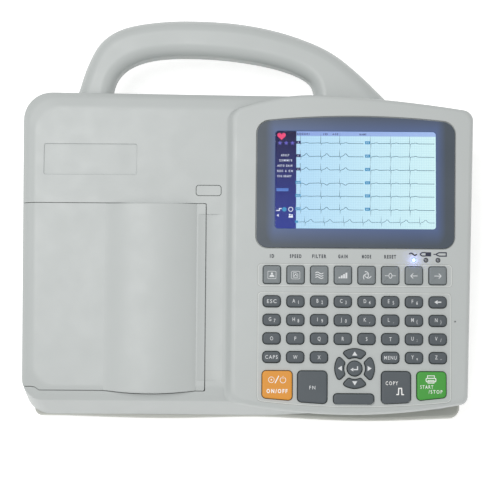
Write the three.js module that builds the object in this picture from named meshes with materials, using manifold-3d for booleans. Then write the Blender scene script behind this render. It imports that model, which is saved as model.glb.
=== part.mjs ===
// A portable electrocardiograph: a wedge-shaped desktop case with a carrying handle behind it, a paper
// compartment with a hinged door on the left, and a raised control panel with a display on the right.
// Millimetres, +Z up. The origin is the middle of the footprint, on the surface that the feet stand on.
// The keypad is towards -Y and the handle towards +Y.
//
// Most of the top is laid out on the deck, a plane that rises towards the back. Deck coordinates are
// u (= X), v (up the slope) and w (out of the deck); w = 0 is the face of the control panel.
import * as THREE from "three";
import { mergeVertices } from "three/addons/utils/BufferGeometryUtils.js";
import Module from "manifold-3d";

const wasm = await Module();
wasm.setup();

// ---- Driving dimensions ------------------------------------------------------------------------
const DECK_ANGLE = THREE.MathUtils.degToRad(8);
const DECK_Y = -140; // where the deck's own origin lies
const DECK_Z = 51;
const WALL = 2.5; // every moulded casing
const GAP = 0.4; // between pieces that touch or slide

const FOOT_HEIGHT = 3;
const PARTING_Z = 15; // where the upper and lower housings meet
const FLOOR_Z = FOOT_HEIGHT + WALL;

const CREASE_W = -10; // edge between the side walls and the sloping rim
const PLATEAU_W = -5; // flat top of the left half, on which the door lies

const PANEL_U = 82; // centre line of the display and the keypad
const REAR = { x: 18, y: 91.5, curve: 0.00052, lift: 0.0105 };
const PANEL_SWEEP = { from: 55, span: 70, drop: 15 };

// Door and paper compartment.
const DOOR = { uFree: -31.9, vFront: 4.2, vRear: 147.1, uHinge: -168.9, wHinge: -25 };
const BARREL = { radius: 2.2, vFront: 28, vRear: 123, knuckle: 5.5, pin: 1 };
const HUMP = { u: -73, halfChord: 34, height: 6 };
const ROLL = { u: -74, w: -24, radius: 20, vFront: 21, vRear: 131 };
const PLATEN = { u: -40.4, w: -15.5, radius: 6, vFront: 20, vRear: 132.5 };
const GEAR = { vFront: 136.5, vRear: 142, module: 1.05, platenTeeth: 12, idlerTeeth: 18, pinionTeeth: 10 };

// Keypad.
const KEY_TOP = 2.2; // how far the keys stand out of the panel
const KEY_TRAVEL = 1.2;
const KEY_PITCH = 18;
const ROW_PITCH = 14.1;
const ROW_1_V = 72.2;
const FUNCTION_V = 92.5;
const FLANGE_TOP = -(WALL + GAP - 0.1);
const FLANGE_BOTTOM = FLANGE_TOP - 1;
const BOARD_TOP = FLANGE_BOTTOM - KEY_TRAVEL - 0.6;
const NAV = { v: 21.6, button: 6.1, inner: 7.9, outer: 15.4 };
const FLANGE = 0.65; // how far a key is wider below the panel than above it

// ---- Solids ------------------------------------------------------------------------------------
const deckMatrix = new THREE.Matrix4()
  .makeRotationX(DECK_ANGLE)
  .setPosition(0, DECK_Y, DECK_Z);

function solid(geometry, matrix) {
  const bare = geometry.clone();
  bare.deleteAttribute("normal");
  bare.deleteAttribute("uv");
  if (matrix) bare.applyMatrix4(matrix);
  const merged = mergeVertices(bare, 1e-4);
  return new wasm.Manifold(
    new wasm.Mesh({
      numProp: 3,
      vertProperties: new Float32Array(merged.attributes.position.array),
      triVerts: new Uint32Array(merged.index.array),
    }),
  );
}

const onDeck = (geometry) => solid(geometry, deckMatrix);

function geometryOf(made) {
  const { vertProperties, triVerts } = made.getMesh();
  const geometry = new THREE.BufferGeometry();
  geometry.setAttribute("position", new THREE.BufferAttribute(vertProperties, 3));
  geometry.setIndex(new THREE.BufferAttribute(triVerts, 1));
  geometry.computeVertexNormals();
  return geometry;
}

const joined = (solids) => solids.reduce((all, next) => all.add(next));
const cut = (made, cutters) => cutters.reduce((left, cutter) => left.subtract(cutter), made);

// ---- Geometries --------------------------------------------------------------------------------
function box(x0, x1, y0, y1, z0, z1) {
  return new THREE.BoxGeometry(x1 - x0, y1 - y0, z1 - z0).translate(
    (x0 + x1) / 2,
    (y0 + y1) / 2,
    (z0 + z1) / 2,
  );
}

// A round rod along Y, from y0 to y1.
function rodY(x, z, radius, y0, y1, sides = 16) {
  return new THREE.CylinderGeometry(radius, radius, y1 - y0, sides).translate(x, (y0 + y1) / 2, z);
}

function rodZ(x, y, radius, z0, z1, sides = 16) {
  return new THREE.CylinderGeometry(radius, radius, z1 - z0, sides)
    .rotateX(Math.PI / 2)
    .translate(x, y, (z0 + z1) / 2);
}

// An outline in X and Y, drawn up from z0 to z1.
function prism(points, z0, z1) {
  return new THREE.ExtrudeGeometry(new THREE.Shape(points), {
    depth: z1 - z0,
    bevelEnabled: false,
  }).translate(0, 0, z0);
}

// An outline in X and Z, drawn along Y from y0 to y1.
function prismY(points, y0, y1) {
  return new THREE.ExtrudeGeometry(new THREE.Shape(points), { depth: y1 - y0, bevelEnabled: false })
    .rotateX(Math.PI / 2)
    .translate(0, y1, 0);
}

// A closed skin over rings of points, the lowest ring first. Every ring runs counter-clockwise.
function loft(rings) {
  const count = rings[0].length;
  const positions = rings.flat().flatMap((p) => [p.x, p.y, p.z]);
  const index = [];
  for (let level = 0; level + 1 < rings.length; level++) {
    for (let i = 0; i < count; i++) {
      const a = level * count + i;
      const b = level * count + ((i + 1) % count);
      index.push(a, b, b + count, a, b + count, a + count);
    }
  }
  const cap = (ring) => THREE.ShapeUtils.triangulateShape(ring.map((p) => new THREE.Vector2(p.x, p.y)), []);
  const top = (rings.length - 1) * count;
  for (const [a, b, c] of cap(rings[0])) index.push(a, c, b);
  for (const [a, b, c] of cap(rings.at(-1))) index.push(top + a, top + b, top + c);
  const geometry = new THREE.BufferGeometry();
  geometry.setAttribute("position", new THREE.Float32BufferAttribute(positions, 3));
  geometry.setIndex(index);
  return geometry;
}

const flat = (z) => () => z;
const deckPlane = (w) => (x, y) => DECK_Z + (y - DECK_Y) * Math.tan(DECK_ANGLE) + w / Math.cos(DECK_ANGLE);
const ringAt = (points, height) => points.map((p) => new THREE.Vector3(p.x, p.y, height(p.x, p.y)));

// A four-sided plan with round corners, between x = left and x = right. Corners run front left, front
// right, rear right, rear left. `front` and `rear` give the y of those two edges at any x.
function plan({ left, right, leftFront = left, rightFront = right, front, rear, radii, edgeSteps = 8 }) {
  const corners = [
    [leftFront, front(leftFront)],
    [rightFront, front(rightFront)],
    [right, rear(right)],
    [left, rear(left)],
  ].map(([x, y]) => new THREE.Vector2(x, y));
  const cornerSteps = 4;
  const arcs = corners.map((corner, i) => {
    const toPrevious = corners[(i + 3) % 4].clone().sub(corner).normalize();
    const toNext = corners[(i + 1) % 4].clone().sub(corner).normalize();
    return Array.from({ length: cornerSteps + 1 }, (_, step) => {
      const turn = (step / cornerSteps) * (Math.PI / 2);
      return corner
        .clone()
        .addScaledVector(toPrevious, radii[i] * (1 - Math.sin(turn)))
        .addScaledVector(toNext, radii[i] * (1 - Math.cos(turn)));
    });
  });
  // Points between two corners, on the edge's own curve away from the corners.
  const edge = (from, to, height) => {
    const chord = (x) => from.y + ((to.y - from.y) * (x - from.x)) / (to.x - from.x);
    return Array.from({ length: edgeSteps - 1 }, (_, step) => {
      const x = THREE.MathUtils.lerp(from.x, to.x, (step + 1) / edgeSteps);
      const ease = Math.min(1, Math.abs(x - from.x) / 12, Math.abs(x - to.x) / 12);
      return new THREE.Vector2(x, THREE.MathUtils.lerp(chord(x), height(x), ease));
    });
  };
  return [
    ...arcs[0],
    ...edge(arcs[0].at(-1), arcs[1][0], front),
    ...arcs[1],
    ...arcs[2],
    ...edge(arcs[2].at(-1), arcs[3][0], rear),
    ...arcs[3],
  ];
}

// Parabola over x0..x1 that stands `height` out at the middle.
const bow = (x0, x1, height) => (x) => (4 * height * (x - x0) * (x1 - x)) / (x1 - x0) ** 2;

// ---- Case shapes -------------------------------------------------------------------------------
// The rear edge of the case: nearly straight on the left, falling away in a long curve on the right.
function rearLine(x) {
  const { x: peak, y, curve, lift } = REAR;
  return x > peak ? y - curve * (x - peak) ** 2 : y + lift * (peak - x);
}

// The panel's rear edge leaves that line in a sweep towards its left side.
function panelRear(x) {
  const { from, span, drop } = PANEL_SWEEP;
  return rearLine(x) - (x < from ? drop * ((from - x) / span) ** 2 : 0);
}

// grow makes the whole body bigger (or, below 0, smaller) by that much on every side.
function mainBody(grow) {
  const ring = ({ leftFront, left, rightFront, right, front, rear, radius, height }) =>
    ringAt(
      plan({
        leftFront: leftFront - grow,
        left: left - grow,
        rightFront: rightFront + grow,
        right: right + grow,
        front: () => front - grow,
        rear: (x) => rearLine(x) + rear + grow,
        radii: [radius, radius - 4, 8, radius].map((r) => Math.max(r + grow, 2)),
      }),
      height,
    );
  const foot = { leftFront: -168, left: -170, rightFront: 165, right: 167, front: -148.5, rear: -3, radius: 22 };
  const crease = { leftFront: -170.2, left: -173.68, rightFront: 167, right: 171, front: -142, rear: 0, radius: 24 };
  const rim = { leftFront: -167, left: -170, rightFront: 165, right: 168, front: -138, rear: -4.5, radius: 20 };
  const top = { leftFront: -161.5, left: -163.5, rightFront: 160, right: 163, front: -133, rear: -12.5, radius: 16 };
  return loft([
    ring({ ...foot, height: flat(PARTING_Z + (grow < 0 ? -1 : 0)) }),
    ring({ ...crease, height: deckPlane(CREASE_W + grow) }),
    ring({ ...rim, height: deckPlane(CREASE_W + 3.2 + grow) }),
    ring({ ...top, height: deckPlane(PLATEAU_W + grow) }),
  ]);
}

function raisedPanel(grow) {
  const frontBow = bow(-13.5, 168, 8.9);
  const ring = (inset, left, height) =>
    ringAt(
      plan({
        left: left - grow,
        rightFront: 168 - inset + grow,
        right: 173.5 - inset + grow,
        front: (x) => -143.5 + inset - grow - frontBow(x),
        rear: (x) => panelRear(x) - 0.7 - inset + grow,
        radii: [6, 6, 6, 9],
        edgeSteps: 10,
      }),
      height,
    );
  return loft([
    ring(7, -8, deckPlane(-19)),
    ring(0.8, -13, deckPlane(-8)),
    ring(0, -13.5, deckPlane(-5)),
    ring(0.8, -11, deckPlane(-1.6 + grow)),
    ring(grow < 0 ? 2 : 3.5, -7, deckPlane(grow)), // a fuller rim inside, so that the wall stays even
  ]);
}

// The low swelling in the door over the paper roll, as a round-topped bar along v.
function hump(grow, v0, v1) {
  const { u, halfChord, height } = HUMP;
  const radius = (halfChord ** 2 + height ** 2) / (2 * height);
  const centreW = PLATEAU_W + height - radius;
  const points = [];
  const steps = 10;
  const reach = Math.asin(halfChord / radius);
  for (let s = 0; s <= steps; s++) {
    const a = reach * (1 - (2 * s) / steps);
    points.push(new THREE.Vector2(u + (radius + grow) * Math.sin(a), centreW + (radius + grow) * Math.cos(a)));
  }
  const low = PLATEAU_W - 8;
  points.push(new THREE.Vector2(u - halfChord, low), new THREE.Vector2(u + halfChord, low));
  return onDeck(prismY(points, v0, v1));
}

const bodyOutside = joined([solid(mainBody(0)), solid(raisedPanel(0))]);
const bodyInside = joined([solid(mainBody(-WALL)), solid(raisedPanel(-WALL))]);

// ---- Key outlines ------------------------------------------------------------------------------
// An eight-point key outline, grown by `grow` on every side. The lower edge may slope.
function keyOutline({ u0, u1, top, left, right, corner }, grow = 0) {
  const c = corner + grow * 0.5;
  const l = u0 - grow;
  const r = u1 + grow;
  const slope = (right - left) / (u1 - u0);
  return [
    [l + c, left - grow + slope * c],
    [r - c, right - grow - slope * c],
    [r, right - grow + c],
    [r, top + grow - c],
    [r - c, top + grow],
    [l + c, top + grow],
    [l, top + grow - c],
    [l, left - grow + c],
  ].map(([x, y]) => new THREE.Vector2(x, y));
}

const keyAt = (u, v, width, height, corner) => ({
  u0: u - width / 2,
  u1: u + width / 2,
  top: v + height / 2,
  left: v - height / 2,
  right: v - height / 2,
  corner,
});

const roundOutline = (u, v, radius, sides = 16) =>
  Array.from({ length: sides }, (_, i) => {
    const a = (i / sides) * 2 * Math.PI;
    return new THREE.Vector2(u + radius * Math.cos(a), v + radius * Math.sin(a));
  });

// One of the four arrow keys: a sector of a ring, centred on the angle `at`.
function arrowOutline(at, grow = 0) {
  const outer = NAV.outer + grow;
  const inner = NAV.inner - grow;
  const spread = THREE.MathUtils.radToDeg(grow / 11);
  const polar = [
    [-34, outer],
    [-17, outer],
    [0, outer],
    [17, outer],
    [34, outer],
    [39 + spread, outer - 2],
    [34 + spread, inner + 1],
    [22, inner],
    [0, inner],
    [-22, inner],
    [-34 - spread, inner + 1],
    [-39 - spread, outer - 2],
  ];
  return polar.map(([degrees, radius]) => {
    const a = at + THREE.MathUtils.degToRad(degrees);
    return new THREE.Vector2(PANEL_U + radius * Math.cos(a), NAV.v + radius * Math.sin(a));
  });
}

// A key: a flange under the panel, a straight shank through it and a softened top.
function keySolid(outline) {
  const ring = (grow, w) => outline(grow).map((p) => new THREE.Vector3(p.x, p.y, w));
  return loft([
    ring(FLANGE, FLANGE_BOTTOM),
    ring(FLANGE, FLANGE_TOP),
    ring(0, FLANGE_TOP),
    ring(0, KEY_TOP - 0.7),
    ring(-0.7, KEY_TOP),
  ]);
}

const functionNames = ["id", "speed", "filter", "gain", "mode", "reset", "left", "right"];
const column = (i) => PANEL_U + (i - 3.5) * KEY_PITCH;

const singleKeys = {};
functionNames.forEach((name, i) => {
  const key = keyAt(column(i), FUNCTION_V, 14, 14.4, 1.6);
  singleKeys[`key_${name}`] = (grow) => keyOutline(key, grow);
});
const bigKeys = {
  key_power: { u0: 11.6, u1: 35.2, top: 20, left: -1.4, right: -3.3, corner: 2.6 },
  key_fn: { u0: 38.4, u1: 61.6, top: 20, left: -4.2, right: -5.6, corner: 2.6 },
  key_space: { u0: 65.6, u1: 98.4, top: 3.5, left: -5.9, right: -5.9, corner: 2.4 },
  key_copy: { u0: 102.4, u1: 125.6, top: 20, left: -5.6, right: -4.2, corner: 2.6 },
  key_start_stop: { u0: 128.6, u1: 152.2, top: 20, left: -2.8, right: -0.2, corner: 2.6 },
};
for (const [name, key] of Object.entries(bigKeys)) singleKeys[name] = (grow) => keyOutline(key, grow);
const arrows = { nav_right: 0, nav_up: 0.5, nav_left: 1, nav_down: 1.5 };
for (const [name, halfTurns] of Object.entries(arrows)) {
  singleKeys[name] = (grow) => arrowOutline(halfTurns * Math.PI, grow);
}
singleKeys.nav_enter = (grow) => roundOutline(PANEL_U, NAV.v, NAV.button + grow);

// Letter keys are moulded in strips of silicone, one strip to a row, split by the arrow keys in row 4.
const strips = {
  keys_row_1: { row: 0, columns: [0, 1, 2, 3, 4, 5, 6, 7] },
  keys_row_2: { row: 1, columns: [0, 1, 2, 3, 4, 5, 6, 7] },
  keys_row_3: { row: 2, columns: [0, 1, 2, 3, 4, 5, 6, 7] },
  keys_row_4_left: { row: 3, columns: [0, 1, 2] },
  keys_row_4_right: { row: 3, columns: [5, 6, 7] },
};
const letterOutline = (columnIndex, row) => {
  const key = keyAt(column(columnIndex), ROW_1_V - row * ROW_PITCH, 14, 9.5, 2);
  return (grow) => keyOutline(key, grow);
};

// ---- Upper housing -----------------------------------------------------------------------------
const windowOutline = (grow) =>
  plan({
    leftFront: 6.6 - grow,
    left: 6.8 - grow,
    rightFront: 158.2 + grow,
    right: 159.2 + grow,
    front: () => 113 - grow,
    rear: (u) => 210.5 + grow + bow(6.8, 159.2, 4.5)(u),
    radii: [9, 9, 9, 9].map((r) => r + grow),
  });
const LCD = { u0: 20.1, u1: 143.9, v0: 128.8, v1: 202.6 }; // the lit area
const lcdBox = (grow, w0, w1) => box(LCD.u0 - grow, LCD.u1 + grow, LCD.v0 - grow, LCD.v1 + grow, w0, w1);

const RELEASE = keyAt(-29.8, 157.5, 19, 7.8, 1.8);
const LEDS = [127, 136.2, 145.4].map((u) => [u, 104.4]);
const PATIENT = { y: -12, z: 33, flangeY: 39, flangeZ: 12.5 };
const USB = { y: -70, z: 31 };
const INLET = { x: 12, z: 32 };
const GROUND = { x: -22, z: 32 };

function doorOpening() {
  const { uFree, vFront, vRear, wHinge } = DOOR;
  return onDeck(box(-180, uFree + 0.8, vFront - 0.5, vRear + 0.5, wHinge - BARREL.radius - GAP, 20));
}

// Where the housing's two hinge knuckles stand, in front of and behind the door's barrel.
const knuckleSpans = [
  [BARREL.vFront - GAP - BARREL.knuckle, BARREL.vFront - GAP],
  [BARREL.vRear + GAP, BARREL.vRear + GAP + BARREL.knuckle],
];

function knuckles() {
  const { uHinge, wHinge } = DOOR;
  return knuckleSpans.flatMap(([v0, v1]) => [
    onDeck(rodY(uHinge, wHinge, BARREL.radius, v0, v1)),
    onDeck(box(uHinge - 0.6, uHinge + BARREL.radius, v0, v1, wHinge - 7, wHinge)),
  ]);
}

function upperHousing() {
  const keyHoles = [
    ...Object.values(singleKeys),
    ...Object.values(strips).flatMap(({ row, columns }) => columns.map((c) => letterOutline(c, row))),
  ].map((outline) => onDeck(prism(outline(GAP), -6, 3)));
  const ledHoles = LEDS.map(([u, v]) => onDeck(rodZ(u, v, 1.6, -6, 3, 8)));
  const shell = bodyOutside.subtract(bodyInside);
  return cut(joined([cut(shell, [doorOpening()]), ...knuckles()]), [
    ...keyHoles,
    ...ledHoles,
    onDeck(prism(windowOutline(0.3), -1.7, 5)),
    onDeck(lcdBox(3, -8, 3)),
    onDeck(prism(keyOutline(RELEASE, GAP), -12, 3)),
    onDeck(box(-156.5, -85.5, 170, 195, PLATEAU_W - 0.8, 0)), // blank recess for a name plate
    onDeck(box(-40, DOOR.uFree + 8, 13.5, 139.5, PLATEAU_W - 0.9, 0)), // shallow trough beside the slot
    onDeck(rodY(DOOR.uHinge, DOOR.wHinge, BARREL.pin + GAP, DOOR.vFront, DOOR.vRear, 10)),
    solid(box(150, 190, PATIENT.y - 16, PATIENT.y + 16, PATIENT.z - 6, PATIENT.z + 6)),
    solid(box(150, 190, USB.y - 7.2, USB.y + 7.2, USB.z - 3.8, USB.z + 3.8)),
    solid(box(INLET.x - 14.5, INLET.x + 14.5, 70, 110, INLET.z - 10.5, INLET.z + 10.5)),
    solid(box(INLET.x - 16.4, INLET.x + 16.4, 90, 110, INLET.z - 12.4, INLET.z + 12.4)),
    solid(rodY(GROUND.x, GROUND.z, 3.4, 70, 110, 12)),
  ]);
}

// ---- Lower housing -----------------------------------------------------------------------------
const BATTERY_HATCH = { x0: 40, x1: 124, y0: -62, y1: 6 };

function trayRing(grow, inset, z) {
  const g = grow - inset;
  return ringAt(
    plan({
      leftFront: -167 - g,
      left: -169 - g,
      rightFront: 164.5 + g,
      right: 166 + g,
      front: (x) => -148 - g - bow(-167, 164.5, 2)(x),
      rear: (x) => rearLine(x) - 4 + g,
      radii: [20, 14, 8, 20].map((r) => Math.max(r + g, 2)),
    }),
    flat(z),
  );
}

function lowerHousing() {
  const top = PARTING_Z - GAP;
  const outside = solid(loft([trayRing(0, 4, FOOT_HEIGHT), trayRing(0, 0, FOOT_HEIGHT + 3.5), trayRing(0, 0, top)]));
  const inside = solid(loft([trayRing(-WALL, 2, FLOOR_Z), trayRing(-WALL, 0, FLOOR_Z + 3), trayRing(-WALL, 0, top + 5)]));
  const { x0, x1, y0, y1 } = BATTERY_HATCH;
  const vents = [];
  for (let i = 0; i < 8; i++) {
    const x = -130 + i * 7;
    vents.push(solid(box(x, x + 2.5, 30, 66, 0, FLOOR_Z + 2)));
  }
  const pillars = [
    [-150, 70],
    [-150, -128],
    [20, -128],
    [150, -128],
    [150, 66],
    [0, 74],
  ].map(([x, y]) => solid(rodZ(x, y, 4, FLOOR_Z - 0.5, top + 3, 10)));
  return cut(outside.subtract(inside), [solid(box(x0, x1, y0, y1, 0, FLOOR_Z + 2)), ...vents]).add(joined(pillars));
}

// ---- Handle ------------------------------------------------------------------------------------
const HANDLE = { top: -13, split: -27, bottom: -41, round: 6 };
const handleOuter = [
  [-133, 222],
  [-130, 236],
  [-124.5, 256],
  [-114, 274],
  [-96, 284.7],
  [-70, 289.5],
  [-40, 290.2],
  [-5, 287.8],
  [28, 281],
  [58, 269.5],
  [80, 254],
  [104, 231],
  [112, 222],
];
const handleInner = [
  [56, 222],
  [53.5, 243],
  [46, 252],
  [26, 259.5],
  [-2, 265.5],
  [-32, 268.5],
  [-62, 268.5],
  [-84, 264.8],
  [-99, 256],
  [-105.5, 244],
  [-107, 222],
];

function smooth(points, inset, steps) {
  const curve = new THREE.SplineCurve(points.map(([x, y]) => new THREE.Vector2(x, y)));
  return curve.getSpacedPoints(steps).map((p, i) => {
    const along = curve.getTangentAt(i / steps);
    return new THREE.Vector2(p.x + along.y * inset, p.y - along.x * inset);
  });
}

function handleBar(inset, depthInset) {
  const outline = [...smooth(handleOuter, inset, 20), ...smooth(handleInner, inset, 16)];
  const round = HANDLE.round - inset;
  const low = HANDLE.bottom + depthInset;
  const high = HANDLE.top - depthInset;
  return onDeck(
    new THREE.ExtrudeGeometry(new THREE.Shape(outline), {
      depth: high - low - 2 * round,
      bevelThickness: round,
      bevelSize: round,
      bevelOffset: -round,
      bevelSegments: 2,
    }).translate(0, 0, low + round),
  );
}

function handleShell(upper) {
  const grown = solid(mainBody(GAP)).add(solid(raisedPanel(GAP)));
  const side = upper
    ? box(-200, 200, 200, 320, HANDLE.split + GAP / 2, 0)
    : box(-200, 200, 200, 320, -60, HANDLE.split - GAP / 2);
  return handleBar(0, 0).subtract(handleBar(WALL, WALL)).intersect(onDeck(side)).subtract(grown);
}

// ---- Door and printer --------------------------------------------------------------------------
function printerDoor() {
  const { uFree, vFront, vRear, uHinge, wHinge } = DOOR;
  const outside = bodyOutside.add(hump(0, vFront, vRear));
  const inside = bodyInside.add(hump(-WALL, vFront - 5, vRear + 5));
  const block = onDeck(box(-185, uFree, vFront, vRear, wHinge, 15));
  const barrel = onDeck(rodY(uHinge, wHinge, BARREL.radius, BARREL.vFront, BARREL.vRear));
  const notches = knuckleSpans.map(([v0, v1]) =>
    onDeck(box(-180, uHinge + 6, v0 - GAP, v1 + GAP, wHinge - 5, wHinge + BARREL.radius + GAP)),
  );
  const lug = (v) => onDeck(box(PLATEN.u - 5, PLATEN.u + 5, v, v + 2, PLATEN.w - 4.5, PLATEAU_W - 1));
  const endWall = (v) => outside.intersect(onDeck(box(-160, uFree - 1, v, v + 2, PLATEAU_W - WALL - 2, 15)));
  const skin = cut(outside.subtract(inside).intersect(block), notches);
  return cut(joined([skin, barrel, lug(17), lug(133.4), endWall(vFront), endWall(vRear - 2)]), [
    onDeck(rodY(PLATEN.u, PLATEN.w, 2 + GAP, 0, 150, 12)),
    onDeck(rodY(uHinge, wHinge, BARREL.pin + GAP, vFront, BARREL.vFront + 6, 10)),
    onDeck(rodY(uHinge, wHinge, BARREL.pin + GAP, BARREL.vRear - 6, vRear, 10)),
    onDeck(box(-36.5, uFree + 1, 13.5, 139.5, PLATEAU_W - 0.9, 0)),
  ]);
}

function hingePin(front) {
  const v0 = front ? knuckleSpans[0][0] + 0.3 : BARREL.vRear - 5.6;
  return rodY(DOOR.uHinge, DOOR.wHinge, BARREL.pin, v0, v0 + 11.2, 10);
}

// A spur gear on an axis along Y. `phase` turns it, in teeth.
function gear(teeth, phase, bore) {
  const { module, vFront, vRear } = GEAR;
  const pitch = (module * teeth) / 2;
  const tip = pitch + module * 0.85;
  const root = pitch - module * 1.1;
  const points = [];
  for (let tooth = 0; tooth < teeth; tooth++) {
    for (const [share, radius] of [
      [-0.28, root],
      [-0.1, tip],
      [0.1, tip],
      [0.28, root],
    ]) {
      const a = ((tooth + phase + share) / teeth) * 2 * Math.PI;
      points.push(new THREE.Vector2(radius * Math.cos(a), radius * Math.sin(a)));
    }
  }
  const shape = new THREE.Shape(points);
  shape.holes.push(new THREE.Path(roundOutline(0, 0, bore, 12)));
  return new THREE.ExtrudeGeometry(shape, { depth: vRear - vFront, bevelEnabled: false })
    .rotateX(Math.PI / 2)
    .translate(0, vRear, 0);
}

const idlerGap = (GEAR.module * (GEAR.platenTeeth + GEAR.idlerTeeth)) / 2;
const IDLER = { u: PLATEN.u, w: PLATEN.w - idlerGap };
const PINION = { u: IDLER.u + (GEAR.module * (GEAR.idlerTeeth + GEAR.pinionTeeth)) / 2, w: IDLER.w };

function platenRoller() {
  return joined([
    solid(rodY(PLATEN.u, PLATEN.w, PLATEN.radius, PLATEN.vFront, PLATEN.vRear, 20)),
    solid(rodY(PLATEN.u, PLATEN.w, 2, PLATEN.vFront - 4.5, GEAR.vRear + 0.8, 12)),
  ]);
}

// Pinion with the motor's shaft, which runs back through the end plate.
function motorPinion() {
  return solid(gear(GEAR.pinionTeeth, 0.5, 1).translate(PINION.u, 0, PINION.w)).add(
    solid(rodY(PINION.u, PINION.w, 1.6, GEAR.vFront, 145.2, 12)),
  );
}

function printerChassis() {
  const plates = [
    box(-49, -12, 10, 145, -46, -44.6),
    box(-27, -25.6, 10, 134, -46, -10),
    box(-49, -12, 143.5, 145, -46, -21),
  ];
  return cut(joined(plates.map((plate) => solid(plate))), [
    solid(rodY(PINION.u, PINION.w, 3, 140, 150, 12)),
    solid(rodY(IDLER.u, IDLER.w, 1.5 + GAP, 140, 150, 12)),
  ]);
}

function paperTray() {
  const r = ROLL.radius + 1.5;
  const trough = (radius, v0, v1) => {
    const points = [new THREE.Vector2(ROLL.u + radius, -11), new THREE.Vector2(ROLL.u - radius, -11)];
    for (let s = 0; s <= 10; s++) {
      const a = Math.PI + (s / 10) * Math.PI;
      points.push(new THREE.Vector2(ROLL.u + radius * Math.cos(a), ROLL.w + radius * Math.sin(a)));
    }
    return solid(prismY(points, v0, v1));
  };
  const body = joined([
    trough(r + 1.6, 17.5, 134.8),
    solid(box(-158, -50.5, 17.5, 134.8, -12.6, -11)),
    solid(box(-158, -97.5, 10, 141, -12.6, -11)),
  ]);
  const slot = (v) => solid(box(ROLL.u - 3 - GAP, ROLL.u + 3 + GAP, v - 2, v + 2, ROLL.w - 3.4, 0));
  return cut(body, [trough(r, 19.5, 132.8), solid(box(ROLL.u - r, ROLL.u + r, 19.5, 132.8, -14, 0)), slot(18.5), slot(133.8)]);
}

function paperRoll() {
  const ring = (radius) => rodY(ROLL.u, ROLL.w, radius, ROLL.vFront, ROLL.vRear, 28);
  return solid(ring(ROLL.radius)).subtract(
    solid(rodY(ROLL.u, ROLL.w, 7, ROLL.vFront - 1, ROLL.vRear + 1, 16)),
  );
}

function paperSpindle() {
  return solid(rodY(ROLL.u, ROLL.w, 6.5, ROLL.vFront, ROLL.vRear, 12)).add(
    solid(rodY(ROLL.u, ROLL.w, 3, 18, 134.4, 12)),
  );
}

// ---- Electronics -------------------------------------------------------------------------------
function mainBoard() {
  const chip = (x, y, w, h, t) => solid(box(x, x + w, y, y + h, 29.5, 29.6 + t));
  return joined([
    solid(box(-4, 150, -118, 60, 28, 29.6)),
    chip(40, -60, 24, 24, 2),
    chip(90, -20, 18, 14, 2.4),
    chip(20, 10, 30, 20, 9),
    chip(110, -100, 24, 12, 5),
  ]);
}

function powerSupply() {
  return joined([
    solid(box(-140, -34, 16, 76, 12, 13.6)),
    solid(box(-134, -110, 24, 52, 13.5, 36)),
    solid(rodZ(-98, 34, 8, 13.5, 38, 12)),
    solid(box(-88, -56, 26, 56, 13.5, 30)),
  ]);
}

function keypadBoard() {
  const under = (w0, w1) => box(6, 154, -2, 108, w0, w1);
  return cut(solid(under(BOARD_TOP - 1.6, BOARD_TOP)), [solid(rodZ(150, -2, 1.6, -30, 10, 8))]);
}

function indicatorGuide() {
  return joined([
    solid(box(LEDS[0][0] - 3, LEDS[2][0] + 3, 102.4, 106.4, -5, -3)),
    ...LEDS.map(([u, v]) => solid(rodZ(u, v, 1.2, -3.5, -0.2, 8))),
  ]);
}

function releaseButton() {
  const ring = (grow, w) => keyOutline(RELEASE, grow).map((p) => new THREE.Vector3(p.x, p.y, w));
  const flangeTop = PLATEAU_W - WALL - GAP;
  const button = solid(
    loft([ring(1, flangeTop - 1.2), ring(1, flangeTop), ring(0, flangeTop), ring(0, PLATEAU_W - 0.2)]),
  );
  return button.add(solid(box(-32, -28, 155, 160, flangeTop - 6, flangeTop - 1)));
}

// ---- Sockets -----------------------------------------------------------------------------------
function patientSocket() {
  const { y, z, flangeY, flangeZ } = PATIENT;
  const shell = new THREE.Shape(
    [
      [-11.8, -4],
      [11.8, -4],
      [13.2, 4],
      [-13.2, 4],
    ].map(([a, b]) => new THREE.Vector2(a, b)),
  );
  const dShape = new THREE.ExtrudeGeometry(shell, { depth: 9, bevelEnabled: false });
  const toRow = new THREE.Matrix4().makeBasis(
    new THREE.Vector3(0, 1, 0),
    new THREE.Vector3(0, 0, 1),
    new THREE.Vector3(1, 0, 0),
  );
  return joined([
    solid(box(160.5, 161.7, y - flangeY / 2, y + flangeY / 2, z - flangeZ / 2, z + flangeZ / 2)),
    solid(box(150, 160.6, y - 14, y + 14, z - 5, z + 5)),
    solid(dShape.applyMatrix4(toRow).translate(161.5, y, z)),
  ]);
}

function usbSocket() {
  const { y, z } = USB;
  const can = solid(box(152, 170, y - 6.6, y + 6.6, z - 3.2, z + 3.2));
  const mouth = solid(box(158, 171, y - 6.1, y + 6.1, z - 2.6, z + 2.6));
  return can.subtract(mouth).add(solid(box(157, 169, y - 5.4, y + 5.4, z + 0.3, z + 2)));
}

// An appliance inlet whose three blades end short of its mouth.
function mainsInlet() {
  const { x, z } = INLET;
  const bezel = solid(box(x - 16, x + 16, 90.3, 93, z - 12, z + 12));
  const body = solid(box(x - 13.8, x + 13.8, 72, 91, z - 9.8, z + 9.8));
  const cavity = solid(box(x - 12, x + 12, 78, 96, z - 8, z + 8));
  const blades = [
    [-7, 2],
    [7, 2],
    [0, -3],
  ].map(([dx, dz]) => solid(box(x + dx - 1, x + dx + 1, 77, 85.5, z + dz - 2, z + dz + 2)));
  return bezel.add(body).subtract(cavity).add(joined(blades));
}

function groundPost() {
  const { x, z } = GROUND;
  return joined([
    solid(rodY(x, z, 2.8, 82, 103, 12)),
    solid(rodY(x, z, 5, 92.2, 95.2, 6)),
    solid(rodY(x, z, 5, 84, 87, 6)),
  ]);
}

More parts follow.
